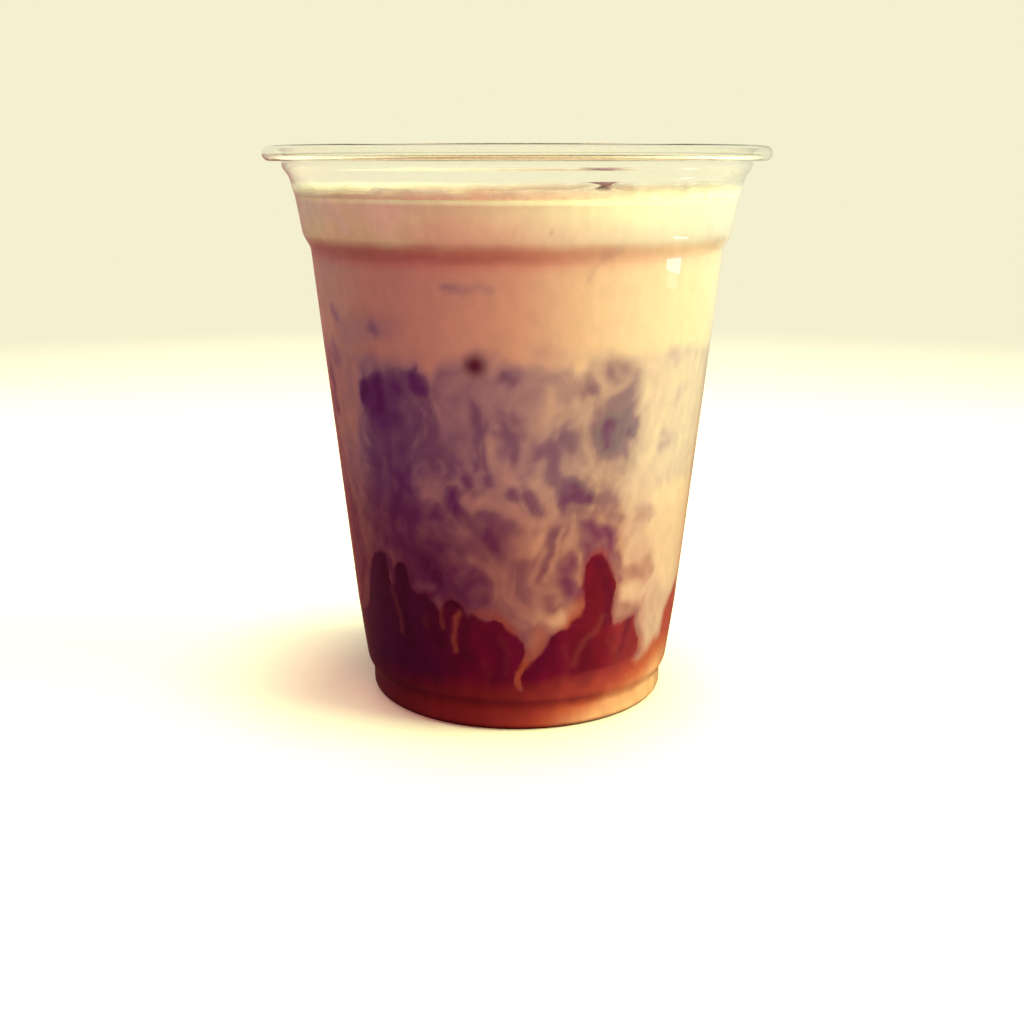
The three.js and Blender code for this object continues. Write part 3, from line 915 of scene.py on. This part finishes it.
# Tints by angle: of the milk, and of the swirls above and below.
MILK_TINTS = (
    (-180, (1, 1, 1)), (-100, (1.1, 0.8, 0.83)), (-70, (1.17, 0.81, 0.84)),
    (-50, (1.13, 0.93, 0.97)), (-33, (1.0, 1.0, 1.08)), (-18, (1.0, 1.08, 1.13)),
    (0, (0.99, 0.94, 0.97)), (20, (1.02, 1.02, 0.99)), (50, (1, 1, 1.08)), (70, (1, 1, 1.08)),
    # Painted light: on the back right the milk is pinker, against the window lamp's green light.
    (110, (1.12, 0.86, 1.05)), (180, (1, 1, 1)),
)
TINTS_ABOVE = (
    (-180, (1.15, 1.0, 0.78)), (-105, (1.12, 1.0, 0.86)), (-50, (0.96, 1.1, 1.3)),
    (-20, (0.97, 1.03, 1.15)), (0, (0.98, 1.04, 1.12)), (26, (1.03, 0.98, 0.84)),
    (60, (1, 1, 0.98)), (105, (1.1, 1.0, 0.86)), (180, (1.15, 1.0, 0.78)),
)
TINTS_BELOW = (
    (-180, (1.15, 1.0, 0.8)), (-105, (1.12, 1.0, 0.86)), (-50, (1, 1, 1.06)),
    (-20, (0.99, 1.05, 1.03)), (0, (0.99, 1.03, 0.99)), (26, (1.05, 0.92, 0.74)),
    (60, (1.05, 0.98, 0.8)), (105, (1.1, 1.0, 0.8)), (180, (1.15, 1.0, 0.8)),
)

# Tints of the darkest swirls on the right, of the haze on the left, and of the foam by angle.
SLATE_TINT = (1.03, 1.9, 1.02)
LEFT_HAZE = (1.05, 1.25, 1.3)
# Painted light in the foam's tints: lighter on the left, where the lamps reach less, and pinker on the
# back right, against the window lamp's green.
FOAM_TINTS = (
    (-180, (1.05, 0.93, 1)), (-100, (1.4, 1.25, 1.1)), (-63, (1.4, 1.25, 1.08)),
    (-46, (1.15, 1.13, 1.0)), (-32, (1.02, 1.32, 1.12)), (-18, (0.96, 1.02, 1.0)), (0, (1, 1, 1)),
    (70, (1, 1, 1)), (105, (1.2, 0.80, 0.92)), (150, (1.15, 0.78, 0.90)), (180, (1.05, 0.93, 1)),
)

# Rusty places and dark spots in the milk.
RUST = (0.30, 0.069, 0.036)
SPOT = (0.076, 0.009, 0.048)

# The coffee's colours, its glow by strength, how strong it is by angle and up to what height.
PURPLE_COFFEE = (0.050, 0.002, 0.048)
CRIMSON_COFFEE = (0.102, 0.003, 0.034)
BROWN_COFFEE = (0.105, 0.005, 0.016)
BACK_COFFEE = (0.078, 0.005, 0.018)
BLACK_COFFEE = (0.038, 0.0015, 0.026)
MILK_IN_COFFEE = (0.32, 0.11, 0.07)
GLOWS = (
    (0.0, (0.115, 0.005, 0.023)),
    (1.0, (0.27, 0.045, 0.036)),
    (1.35, (0.36, 0.085, 0.047)),
    (1.7, (0.45, 0.18, 0.10)),
    (2.1, (0.57, 0.31, 0.17)),
)
GLOW_BY_ANGLE = (
    (-180, 0.5), (-100, 0.15), (-45, 0.4), (-14, 0.67), (0, 0.95), (15, 1.7), (28, 2.3), (45, 2.1),
    (60, 1.8), (100, 1.7), (140, 1.0), (180, 0.5),
)
GLOW_HEIGHT = 12.5

# The foam's colours, the shades under the shoulder, and the direction of the window.
FOAM = (0.86, 0.98, 0.64)
# Painted light: the foam is painted darker and greyer towards the window, to offset its lamp.
FOAM_IN_SUN = (0.48, 0.475, 0.475)
FOAM_BELOW = (0.93, 0.83, 0.88)
FOAM_ON_TOP = (0.37, 0.25, 0.165)
# Painted light: near the level, the foam away from the window is tinted lighter in green and blue.
FOAM_AT_LEVEL = (0.96, 1.07, 1.06)
MENISCUS_SHADE = (0.92, 0.86, 0.80)
PALE_ICE = (0.95, 1.0, 0.80)
SHOULDER_SHADE = (0.94, 0.70, 0.75)
DEEPEST_SHADE = (0.76, 0.66, 0.72)
WINDOW_ANGLE = 80

# Heights over which the colours change: from one to the other, or in and out again.
UPPER_FROM = (34, 56)
TINTS_ABOVE_FROM = (32, 54)
SHOULDER_BAND = (87.2, 89.6, 91.4, 93.8)
DEEPEST_BAND = (89.0, 90.0, 90.4, 91.5)
FOAM_FROM = (91.6, 93.4)


def shade(strength, shades):
    """Colours at each strength or angle, between those that the stops give."""
    stops = np.array([s for s, _ in shades])
    colours = np.array([c for _, c in shades])
    return np.stack([np.interp(strength, stops, colours[:, i]) for i in range(3)], axis=1)


def warped(points):
    """The points' flat places, moved about by smooth noise as currents do."""
    angle, height = flat_places(points)
    flat = unrolled(angle, height)
    sway = [
        0.5 * noise_at(points, 7.0, shift)
        + 0.6 * noise_at(points, 2.8, shift + 9)
        + 0.25 * noise_at(points, 1.2, shift + 18)
        for shift in (11.3, 47.9)
    ]
    return flat + np.stack(sway, axis=1)


def wisps(points):
    """Thin filaments that the currents draw out, of about -1 to 1."""
    bend = np.stack([noise_at(points, 8.0, shift) for shift in (5.0, 15.0, 25.0)], axis=1)
    drawn = (points + 5.0 * bend) * (1, 1, 0.45)
    return 1.6 * noise_at(drawn, 2.6, 3.3) + 0.8 * noise_at(drawn, 1.2, 7.7)


def coffee_strength(points, flat, depth):
    """How much coffee is in the milk at each point: 0 in the smooth top, 1 in a dark swirl."""
    z = points[:, 2]
    edge = SWIRL_LEVEL + 1.7 * noise_at(points, 7.0, 3.1) + 1.0 * noise_at(points, 3.0, 5.2)
    swirled = 1 - smoothstep(z, edge - 3.0, edge + 2.0)
    amount = swirled * (0.60 + 0.10 * noise_at(points, 6.0, 21.0))
    rng = random.Random(MARBLING_SEED)
    areas = from_photo(MARBLED_AREAS)
    for kind in DRAWN_AREAS:
        areas += random_areas(rng, *kind)
    strokes = from_photo(MARBLED_STROKES)
    for kind in DRAWN_STROKES:
        strokes += random_strokes(rng, *kind)
    paint_areas(amount, flat, areas)
    paint_strokes(amount, flat, strokes)
    amount += (0.15 * (amount - 0.5) + 0.10 - 0.08 * smoothstep(z, 44, 58)) * swirled
    leftward = np.sin(np.radians(5 - turn_of(points)))
    amount += 0.12 * swirled * leftward * (1 - smoothstep(z, 42, 56))
    amount += 0.19 * swirled * (0.25 + amount) * wisps(points)
    return amount + 0.45 * smoothstep(depth, -2.2, 0.3)


def swirl_colour(points, flat, depth, strength):
    """The colour of milk and swirls, with rusty places where the coffee shows through."""
    turn = turn_of(points)
    z = points[:, 2] + 2.0 * noise_at(points, 8.0, 61.0)
    upper = smoothstep(z, *UPPER_FROM)
    tone = blend(shade(strength, LOWER_SHADES), shade(strength, UPPER_SHADES), upper)
    slate = smoothstep(turn, 5, 24) * smoothstep(z, 38, 50) * smoothstep(strength, 0.9, 1.8)
    haze = band(-turn, 40, 58, 90, 120) * smoothstep(z, 62, 84)
    # The milk's tints by angle hold painted light: pinker on the back right, against the window lamp's
    # green.
    tone = tinted(tinted(tone, SLATE_TINT, slate), LEFT_HAZE, haze) * shade(turn, MILK_TINTS)
    above = smoothstep(z, *TINTS_ABOVE_FROM)
    tint = blend(shade(turn, TINTS_BELOW), shade(turn, TINTS_ABOVE), above)
    tone = tinted(tone, tint, smoothstep(strength, 0.1, 0.7))
    halo = (0.28 + 0.2 * noise_at(points, 5.0, 44.0)) * smoothstep(depth, -1.6, -0.1)
    rust = np.clip(strokes_field(flat, from_photo(RUST_STROKES)) + halo, 0, 1)
    return blend(tone, RUST, rust * (0.35 + 0.65 * smoothstep(turn, -30, 10)))


def foam_colour(points, flat, height, lit):
    """The foam's colour against the wall and, darker, in the open on top of the drink."""
    # Painted light: darker and greyer towards the window, to offset its lamp.
    foam = blend(FOAM, FOAM_IN_SUN, lit)
    foam = foam * blend(FOAM_BELOW, (1, 1, 1), smoothstep(height, 94.0, 98.0))
    # Painted light: near the level, tinted lighter in green and blue away from the window.
    foam = tinted(foam, FOAM_AT_LEVEL, smoothstep(height, 95.8, 99.6) * (1 - lit))
    # Painted light: lighter on the left, where the lamps reach less, pinker on the back right.
    foam = foam * shade(turn_of(points), FOAM_TINTS)
    foam = stroked(foam, PALE_ICE, flat, from_photo(PALE_STROKES))
    z = points[:, 2]
    inward = skin_radius(z) - np.hypot(points[:, 0], points[:, 1])
    on_top = smoothstep(z, DRINK_LEVEL - 0.6, DRINK_LEVEL - 0.1) * smoothstep(inward, 0.1, 0.6)
    bubbly = 0.94 + 0.06 * noise_at(points, 4.0, 51.0) + 0.05 * noise_at(points, 1.5, 55.0)
    foam = blend(foam, np.outer(bubbly, FOAM_ON_TOP), on_top)
    return tinted(foam, MENISCUS_SHADE, smoothstep(z, DRINK_LEVEL, DRINK_LEVEL + 0.3))


def milk_colour(points, flat, depth):
    """The milk's colour, with the ring of shade under the shoulder and the foam on top."""
    turn = turn_of(points)
    height = points[:, 2] + 0.4 * noise_at(points * (1, 1, 0.5), 5.0, 41.0)
    lit = (0.5 + 0.5 * np.cos(np.radians(turn - WINDOW_ANGLE))) ** 2
    strength = coffee_strength(points, flat, depth)
    tone = swirl_colour(points, flat, depth, strength)
    leftward = smoothstep(-turn, 20, 52)
    low, start, end, high = SHOULDER_BAND
    shaded = band(height, low, start, end, high + 1.2 * leftward) * (1 - 0.75 * lit)
    deepest = band(height, *DEEPEST_BAND) * (1 - lit) * (1 - 0.5 * leftward)
    tone = tinted(tinted(tone, SHOULDER_SHADE, shaded), DEEPEST_SHADE, deepest)
    frothy = smoothstep(height, *FOAM_FROM) * (1 - 0.5 * np.clip(strength, 0, 1))
    tone = blend(tone, foam_colour(points, flat, height, lit), frothy)
    spots = from_photo([(radius, share, [pixel]) for radius, share, pixel in DARK_SPOTS])
    return stroked(tone, SPOT, unrolled(*flat_places(points)), spots)


def coffee_glow(turn, height):
    """How strongly light shines through the coffee, at its foot and towards the right side."""
    angles, peaks = zip(*GLOW_BY_ANGLE)
    reach = GLOW_HEIGHT + 3 * smoothstep(turn, 30, 60)
    glow = np.interp(turn, angles, peaks) * np.clip(1 - height / reach, 0, 1) ** 0.9
    sideways = 0.3 * smoothstep(turn, 26, 38) + 0.6 * smoothstep(turn, 48, 60)
    return glow + sideways * (1 - smoothstep(turn, 90, 130)) * (1 - smoothstep(height, 20, 34))


def coffee_colour(points, flat):
    """The coffee's colour: purple on the left, brown on the right, and aglow where light passes."""
    turn = turn_of(points)
    z = points[:, 2]
    tone = blend(PURPLE_COFFEE, CRIMSON_COFFEE, smoothstep(turn, -36, -8))
    tone = blend(tone, BROWN_COFFEE, smoothstep(turn, 2, 30))
    tone = blend(tone, BACK_COFFEE, smoothstep(np.abs(turn), 82, 125))
    glow = coffee_glow(turn, z + 1.2 * noise_at(points, 6.0, 33.0))
    tone = blend(tone, shade(glow, GLOWS), smoothstep(glow, 0.0, 0.35))
    rng = random.Random(LINES_SEED)
    dark = from_photo(DARK_LINES) + random_strokes(rng, *DRAWN_DARK_LINES)
    milk = from_photo(MILK_LINES) + random_strokes(rng, *DRAWN_MILK_LINES)
    tone = stroked(tone, BLACK_COFFEE, flat, dark, 0.7)
    # Painted shade: a purple line just under the step, on the front and left, where the crease is in
    # shade.
    step_shade = np.exp(-(((z - STEP[1] + 0.5) / 0.5) ** 2)) * (1 - smoothstep(turn, 20, 45))
    tone = blend(tone, PURPLE_COFFEE, 0.3 * step_shade)
    # Painted shade: nearly black at the very bottom, for the dark line where the cup stands.
    tone = blend(tone, BLACK_COFFEE, 0.9 * (1 - smoothstep(z, 0.4, 1.0)))
    cloudy = 1 + 0.22 * noise_at(points * (1, 1, 0.6), 2.6, 38.0)
    cloudy += 0.10 * noise_at(points, 1.1, 39.0)
    tone = tone * cloudy[:, None]
    return stroked(tone, MILK_IN_COFFEE, flat, milk)


def put_colours(mesh, name, colours):
    """Stores a colour for each of the mesh's points under a name."""
    layer = mesh.color_attributes.new(name, "FLOAT_COLOR", "POINT")
    rgba = np.concatenate([np.clip(colours, 0, 1), np.ones((len(colours), 1))], axis=1)
    layer.data.foreach_set("color", rgba.ravel())


def paint_drink(thing):
    """Gives the drink's mesh its colours and, as a distance, the coffee's edge."""
    mesh = thing.data
    points = np.empty(len(mesh.vertices) * 3)
    mesh.vertices.foreach_get("co", points)
    points = points.reshape(-1, 3) / MM
    flat = warped(points)
    plain = unrolled(*flat_places(points))
    ripple = np.stack([noise_at(points, 1.6, 70.0), noise_at(points, 1.6, 80.0)], axis=1)
    depth = depth_in(plain + 0.18 * ripple, coffee_edge())
    put_colours(mesh, "milk", milk_colour(points, flat, depth))
    put_colours(mesh, "deep", coffee_colour(points, plain + 0.3 * ripple))
    edge = mesh.attributes.new("depth", "FLOAT", "POINT")
    edge.data.foreach_set("value", np.clip(depth, -6, 12))


# Materials

def new_tree(name):
    material = bpy.data.materials.new(name)
    material.use_nodes = True
    material.node_tree.nodes.clear()
    return material, material.node_tree


def add(tree, kind, inputs=None, **settings):
    """A new node, with its settings, and its inputs by name or place as values or links."""
    made = tree.nodes.new(kind)
    for name, value in settings.items():
        setattr(made, name, value)
    for key, value in (inputs or {}).items():
        if isinstance(value, bpy.types.NodeSocket):
            tree.links.new(value, made.inputs[key])
        else:
            made.inputs[key].default_value = value
    return made


def colour(values):
    """A colour as nodes take it, with full cover."""
    return (*values, 1.0)


def mix_colours(tree, share, a, b):
    return add(tree, "ShaderNodeMix", {0: share, 6: a, 7: b}, data_type="RGBA").outputs[2]


def mapped(tree, value, low, high, to_low=0.0, to_high=1.0, kind="SMOOTHSTEP"):
    """The value carried from the range low to high to another range."""
    inputs = {0: value, 1: low, 2: high, 3: to_low, 4: to_high}
    return add(tree, "ShaderNodeMapRange", inputs, interpolation_type=kind).outputs[0]


def arithmetic(tree, operation, a, b):
    return add(tree, "ShaderNodeMath", {0: a, 1: b}, operation=operation).outputs[0]


def noise_texture(tree, size, detail, stretch=(1, 1, 1)):
    """Noise with features of about size millimetres."""
    place = add(tree, "ShaderNodeTexCoord").outputs["Object"]
    place = add(tree, "ShaderNodeMapping", {"Vector": place, "Scale": stretch}).outputs[0]
    inputs = {"Vector": place, "Scale": 1 / (size * MM), "Detail": detail}
    return add(tree, "ShaderNodeTexNoise", inputs).outputs["Fac"]


def attribute(tree, name, output="Color"):
    return add(tree, "ShaderNodeAttribute", attribute_name=name).outputs[output]


def scaled(tree, vector, factor):
    """A colour with all its channels multiplied by the factor."""
    inputs = {0: vector, "Scale": factor}
    return add(tree, "ShaderNodeVectorMath", inputs, operation="SCALE").outputs[0]


def mix_shaders(tree, share, a, b):
    return add(tree, "ShaderNodeMixShader", {0: share, 1: a, 2: b}).outputs[0]


def background(tree, tone):
    return add(tree, "ShaderNodeBackground", {"Color": tone, "Strength": 1.0}).outputs[0]


def finish_material(tree, shader):
    add(tree, "ShaderNodeOutputMaterial", {"Surface": shader})


def principled(material, inputs):
    """The material, finished with a principled shader that has these inputs."""
    tree = material.node_tree
    shader = add(tree, "ShaderNodeBsdfPrincipled", inputs)
    finish_material(tree, shader.outputs[0])
    return material


def drink_material(name, gloss, roughness):
    """The drink: its milk, and its coffee inside the coffee's edge, which is sharper in places."""
    material, tree = new_tree(name)
    ragged = mapped(tree, noise_texture(tree, 1.3, 3), 0.3, 0.7, -0.16, 0.16, "LINEAR")
    depth = arithmetic(tree, "ADD", attribute(tree, "depth", "Fac"), ragged)
    softness = mapped(tree, noise_texture(tree, 4.5, 1), 0.35, 0.65, 0.3, 0.85)
    starts = arithmetic(tree, "MULTIPLY", softness, -1.0)
    ends = arithmetic(tree, "MULTIPLY", softness, 0.8)
    inside = mapped(tree, depth, starts, ends)
    grain = mapped(tree, noise_texture(tree, 2.2, 4, (1, 1, 0.6)), 0.25, 0.75, 0.93, 1.07, "LINEAR")
    milk = scaled(tree, attribute(tree, "milk"), grain)
    return principled(material, {
        "Base Color": mix_colours(tree, inside, milk, attribute(tree, "deep")),
        "Roughness": roughness,
        "Specular IOR Level": gloss,
    })


def clear_plastic():
    """Clear plastic with a faint flow in it, which lets light and shadow straight through."""
    material, tree = new_tree("clear plastic")
    flow = noise_texture(tree, 16, 1, (1, 1, 0.25))
    bump = add(tree, "ShaderNodeBump", {"Height": flow, "Strength": 0.12, "Distance": 0.4 * MM})
    plastic = add(tree, "ShaderNodeBsdfPrincipled", {
        "Base Color": colour((0.985, 0.98, 0.955)),
        "Roughness": 0.03,
        "IOR": 1.45,
        "Specular IOR Level": 0.4,
        "Transmission Weight": 1.0,
        "Normal": bump.outputs[0],
    })
    open_air = add(tree, "ShaderNodeBsdfTransparent", {"Color": colour((0.95, 0.945, 0.92))})
    path = add(tree, "ShaderNodeLightPath")
    rays = path.outputs
    passing = arithmetic(tree, "MAXIMUM", rays["Is Shadow Ray"], rays["Is Diffuse Ray"])
    finish_material(tree, mix_shaders(tree, passing, plastic.outputs[0], open_air.outputs[0]))
    return material


def ice_material():
    material, tree = new_tree("ice")
    cloud = noise_texture(tree, 5, 3)
    frost = noise_texture(tree, 1.2, 2)
    bump = add(tree, "ShaderNodeBump", {"Height": frost, "Strength": 0.3, "Distance": 0.5 * MM})
    return principled(material, {
        "Base Color": mix_colours(tree, cloud, colour(CLEAR_ICE), colour(CLOUDY_ICE)),
        "Roughness": mapped(tree, frost, 0.35, 0.7, 0.05, 0.25),
        "IOR": 1.31,
        "Transmission Weight": mapped(tree, cloud, 0.35, 0.75, 0.85, 0.55),
        "Normal": bump.outputs[0],
    })


def froth_material():
    material, tree = new_tree("froth")
    grain = mapped(tree, noise_texture(tree, 0.7, 2), 0.3, 0.7, 0.94, 1.0, "LINEAR")
    drawn = mapped(tree, noise_texture(tree, 2.4, 3, (1, 1, 0.5)), 0.3, 0.7, 0.8, 1.15, "LINEAR")
    cover = arithmetic(tree, "MULTIPLY", attribute(tree, "cover", "Fac"), drawn)
    return principled(material, {
        "Base Color": scaled(tree, attribute(tree, "foam"), grain),
        "Roughness": 0.6,
        "Specular IOR Level": 0.1,
        "Alpha": arithmetic(tree, "MINIMUM", cover, 1.0),
    })


def bubble_material():
    material, tree = new_tree("bubble")
    swirl = noise_texture(tree, 0.6, 1)
    return principled(material, {
        "Base Color": mix_colours(tree, swirl, colour(LIGHT_BUBBLE), colour(DARK_BUBBLE)),
        "Roughness": 0.1,
        "IOR": 1.2,
        "Transmission Weight": 0.35,
    })


def fleck_material():
    material, tree = new_tree("dried coffee")
    grain = noise_texture(tree, 0.8, 3)
    return principled(material, {
        "Base Color": mix_colours(tree, grain, colour(LIGHT_FLECK), colour(DARK_FLECK)),
        "Roughness": 0.5,
    })


# The pieces

def evaluated(thing):
    """Applies the object's modifiers."""
    graph = bpy.context.evaluated_depsgraph_get()
    mesh = bpy.data.meshes.new_from_object(thing.evaluated_get(graph))
    thing.modifiers.clear()
    thing.data = mesh


def build_cup():
    outer = propped(OUTER_LINE)
    inner = propped(offset(MID_LINE, WALL / 2))
    cup = lathe("clear_cup", [tuple(p) for p in (*outer, *inner[::-1])], CUP_COLUMNS)
    cup.data.materials.append(clear_plastic())
    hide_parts("cup")
    return cup


def build_drink():
    drink = lathe("layered_drink", drink_profile(), DRINK_COLUMNS)
    pockets = [ice_cube("pocket", block, -POCKET_BITE) for block in ICE]
    for pocket in pockets:
        cut = drink.modifiers.new("pocket", "BOOLEAN")
        cut.object = pocket
        cut.operation = "DIFFERENCE"
        cut.solver = "MANIFOLD"
    evaluated(drink)
    for pocket in pockets:
        mesh = pocket.data
        bpy.data.objects.remove(pocket)
        bpy.data.meshes.remove(mesh)
    paint_drink(drink)
    drink.data.materials.clear()
    drink.data.materials.append(drink_material("drink behind the wall", 0.0, 0.5))
    drink.data.materials.append(drink_material("drink in the open", 0.25, 0.55))
    for face in drink.data.polygons:
        place = face.center / MM
        inward = skin_radius(place.z) - math.hypot(place.x, place.y)
        face.material_index = int(place.z > DRINK_LEVEL - 0.2 and inward > 0.1)
        face.use_smooth = True
    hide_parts("coffee", "milk_swirls", "milky_coffee")
    return drink


def build_froth():
    """A film of froth on the wall above the drink, thick below and ragged and thin above."""
    heights = np.linspace(FROTH_FOOT, FROTH_TOP, 16)
    outer = [(float(skin_radius(z)) - BITE + FROTH_REACH, z) for z in heights]
    inner = [(r - FROTH_THICKNESS, z) for r, z in outer[::-1]]
    froth = ring_body("froth_film", [*outer, *inner], DRINK_COLUMNS)
    points = np.array([v.co for v in froth.data.vertices]) / MM
    z = points[:, 2]
    ragged = 0.7 * noise_at(points * (1, 1, 0.3), 9.0, 91.0)
    ragged += 0.5 * noise_at(points * (1, 1, 0.4), 3.0, 95.0)
    layer = froth.data.attributes.new("cover", "FLOAT", "POINT")
    layer.data.foreach_set("value", 1 - smoothstep(z + 0.7 * ragged, *FROTH_THINS))
    dry = smoothstep(z + 0.3 * noise_at(points, 5.0, 99.0), DRINK_LEVEL, DRINK_LEVEL + 2.0)
    inward = skin_radius(z) - np.hypot(points[:, 0], points[:, 1])
    inside = (inward > BITE - FROTH_REACH + FROTH_THICKNESS / 2).astype(float)
    put_colours(froth.data, "foam", blend(blend(WET_FROTH, DRY_FROTH, dry), FROTH_INSIDE, inside))
    froth.data.materials.append(froth_material())
    return froth


def bubble_places(rng):
    """Middles and radii of bubbles along the wall and round the ice."""
    rim = float(skin_radius(DRINK_LEVEL)) - BITE
    clumps = [rng.uniform(0, 360) for _ in range(WALL_CLUMPS)]
    for _ in range(WALL_BUBBLES):
        radius = rng.uniform(*BUBBLE_RADII) * rng.uniform(0.5, 1)
        angle = rng.choice(clumps) + rng.gauss(0, 9)
        x, y = around(angle, rim - radius - 0.5 - abs(rng.gauss(0, 1.1)))
        yield x, y, radius
    for _ in range(ICE_BUBBLES):
        radius = rng.uniform(*BUBBLE_RADII) * rng.uniform(0.4, 1)
        size, angle, out, *_ = rng.choice(ICE)
        x, y = around(angle, out)
        turn, away = rng.uniform(0, math.tau), size[0] * rng.uniform(0.5, 0.78)
        x += away * math.cos(turn)
        y += away * math.sin(turn)
        if math.hypot(x, y) < rim - radius:
            yield x, y, radius


def build_bubbles():
    bpy.ops.mesh.primitive_ico_sphere_add(subdivisions=2, radius=1)
    ball = bpy.context.object
    ball_points = np.array([v.co for v in ball.data.vertices])
    ball_faces = [tuple(p.vertices) for p in ball.data.polygons]
    bpy.data.objects.remove(ball)
    points, faces = [], []
    for x, y, radius in bubble_places(random.Random(BUBBLES_SEED)):
        start = len(points) * len(ball_points)
        points.append(ball_points * radius + (x, y, DRINK_LEVEL + BUBBLE_RISE * radius))
        faces += [tuple(start + k for k in face) for face in ball_faces]
    bubbles = mesh_object("bubbles", np.vstack(points), faces)
    bubbles.data.materials.append(bubble_material())
    return bubbles


def build_fleck():
    """A dark fleck of coffee dried on the ice, thin at its rim."""
    middle = np.array(FLECK_PLACE)
    ring = np.array([(x, 0, z) for x, z in FLECK_OUTLINE])
    centre = ring.mean(axis=0)
    count = len(ring)
    points = [*(middle + ring)]
    for side in (-1, 1):
        points += [*(middle + centre + (ring - centre) * 0.5 + (0, side * FLECK_DEPTH * 0.4, 0))]
        points.append(middle + centre + (0, side * FLECK_DEPTH * 0.5, 0))
    faces = []
    for side in (0, 1):
        start = count + side * (count + 1)
        for i in range(count):
            k = (i + 1) % count
            band = (i, k, start + k, start + i)
            cap = (start + i, start + k, start + count)
            faces += [band, cap] if side else [band[::-1], cap[::-1]]
    fleck = mesh_object("fleck", points, faces)
    fleck.data.materials.append(fleck_material())
    return fleck


def build_ice():
    material = ice_material()
    cubes = []
    for number, block in enumerate(ICE, 1):
        cube = ice_cube(f"ice_cube_{number}", block, bends=6, flats=10, dents=0.12)
        cube.data.materials.append(material)
        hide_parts(f"ice_{number}")
        cubes.append(cube)
    return cubes


for piece in (build_cup(), build_drink(), *build_ice(), build_froth(), build_bubbles(), build_fleck()):
    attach(piece, "root")


# Floor, light and camera

def reflection(tree, path):
    """1 for a ray mirrored by a glossy surface, and 0 for one that passed through it."""
    through = arithmetic(tree, "SUBTRACT", 1.0, path.outputs["Is Transmission Ray"])
    return arithmetic(tree, "MULTIPLY", path.outputs["Is Glossy Ray"], through)


def build_floor():
    """A pale floor that fades out far from the object, and throws only a dim light back on it."""
    bpy.ops.mesh.primitive_circle_add(vertices=96, radius=FLOOR_RADIUS, fill_type="NGON")
    floor = bpy.context.object
    floor.name = "floor"
    material, tree = new_tree("pale floor")
    place = add(tree, "ShaderNodeTexCoord").outputs["Object"]
    away = add(tree, "ShaderNodeVectorMath", {0: place}, operation="LENGTH").outputs["Value"]
    solid = mapped(tree, away, 0.25 * FLOOR_RADIUS, 0.95 * FLOOR_RADIUS, 1.0, 0.0)
    path = add(tree, "ShaderNodeLightPath")
    seen = mix_colours(tree, reflection(tree, path), colour(FLOOR_TONE), colour(FLOOR_MIRRORED))
    floor.data.materials.append(principled(material, {
        "Base Color": mix_colours(tree, path.outputs["Is Diffuse Ray"], seen, colour(FLOOR_BOUNCE)),
        "Roughness": 0.7,
        "Specular IOR Level": 0.1,
        "Alpha": solid,
    }))


def area_light(name, place, aim, size, power, tone, mirrored=False):
    """A soft rectangular lamp, in metres, that faces its aim and may show in reflections."""
    data = bpy.data.lights.new(name, "AREA")
    data.shape = "RECTANGLE"
    data.size, data.size_y = size
    data.energy = power
    data.color = tone
    lamp = bpy.data.objects.new(name, data)
    lamp.location = place
    lamp.rotation_euler = (Vector(aim) - Vector(place)).to_track_quat("-Z", "Y").to_euler()
    lamp.visible_glossy = mirrored
    lamp.visible_diffuse = not mirrored
    lamp.visible_transmission = False
    lamp.visible_camera = False
    bpy.context.collection.objects.link(lamp)


def build_world():
    """A pale wall to look at, and a dimmer room, bright on the right, that lights the object."""
    world = bpy.data.worlds.new("room")
    bpy.context.scene.world = world
    world.use_nodes = True
    tree = world.node_tree
    tree.nodes.clear()
    direction = add(tree, "ShaderNodeTexCoord").outputs["Generated"]
    turn = add(tree, "ShaderNodeVectorMath", {0: direction, 1: WINDOW_SIDE}, operation="DOT_PRODUCT")
    ramp = add(tree, "ShaderNodeValToRGB", {0: mapped(tree, turn.outputs["Value"], -1.0, 1.0)})
    low, high = ramp.color_ramp.elements
    low.color = colour(ROOM_DARK)
    high.color = colour(ROOM_BRIGHT)
    low.position = 0.35
    parts = add(tree, "ShaderNodeSeparateXYZ", {0: direction}).outputs
    leftward = mapped(tree, parts["X"], -0.2, 0.4, 1.0, 0.0)
    sunk = mapped(tree, parts["Z"], -0.04, 0.02, 1.0, 0.0)
    share = arithmetic(tree, "MULTIPLY", leftward, sunk)
    mirrored = mix_colours(tree, share, colour(WALL_TONE), colour(MIRRORED_LEFT))
    path = add(tree, "ShaderNodeLightPath")
    wall = background(tree, colour(WALL_TONE))
    seen = mix_shaders(tree, reflection(tree, path), wall, background(tree, mirrored))
    room = background(tree, ramp.outputs[0])
    shader = mix_shaders(tree, path.outputs["Is Diffuse Ray"], seen, room)
    add(tree, "ShaderNodeOutputWorld", {"Surface": shader})


def build_camera():
    data = bpy.data.cameras.new("camera")
    data.sensor_width = SENSOR_WIDTH
    data.lens = FOCAL_PIXELS / IMAGE_SIZE * SENSOR_WIDTH
    data.clip_start = 0.01
    camera = bpy.data.objects.new("camera", data)
    camera.location = Vector(CAMERA_PLACE) * MM
    camera.rotation_euler = (math.radians(90 - CAMERA_DOWN), 0, 0)
    bpy.context.collection.objects.link(camera)
    bpy.context.scene.camera = camera


build_floor()
build_world()
for lamp in LAMPS:
    area_light(*lamp)
for number, (low, high, front, back, power) in enumerate(GLINTS, 1):
    y, z = (front + back) / 2, (low + high) / 2
    size = (back - front, high - low)
    place = (GLINT_DISTANCE, y, z)
    area_light(f"glint_{number}", place, (GLINT_AIM, y, z), size, power, GLINT_TONE, mirrored=True)
build_camera()

bpy.context.scene.view_settings.view_transform = "Standard"
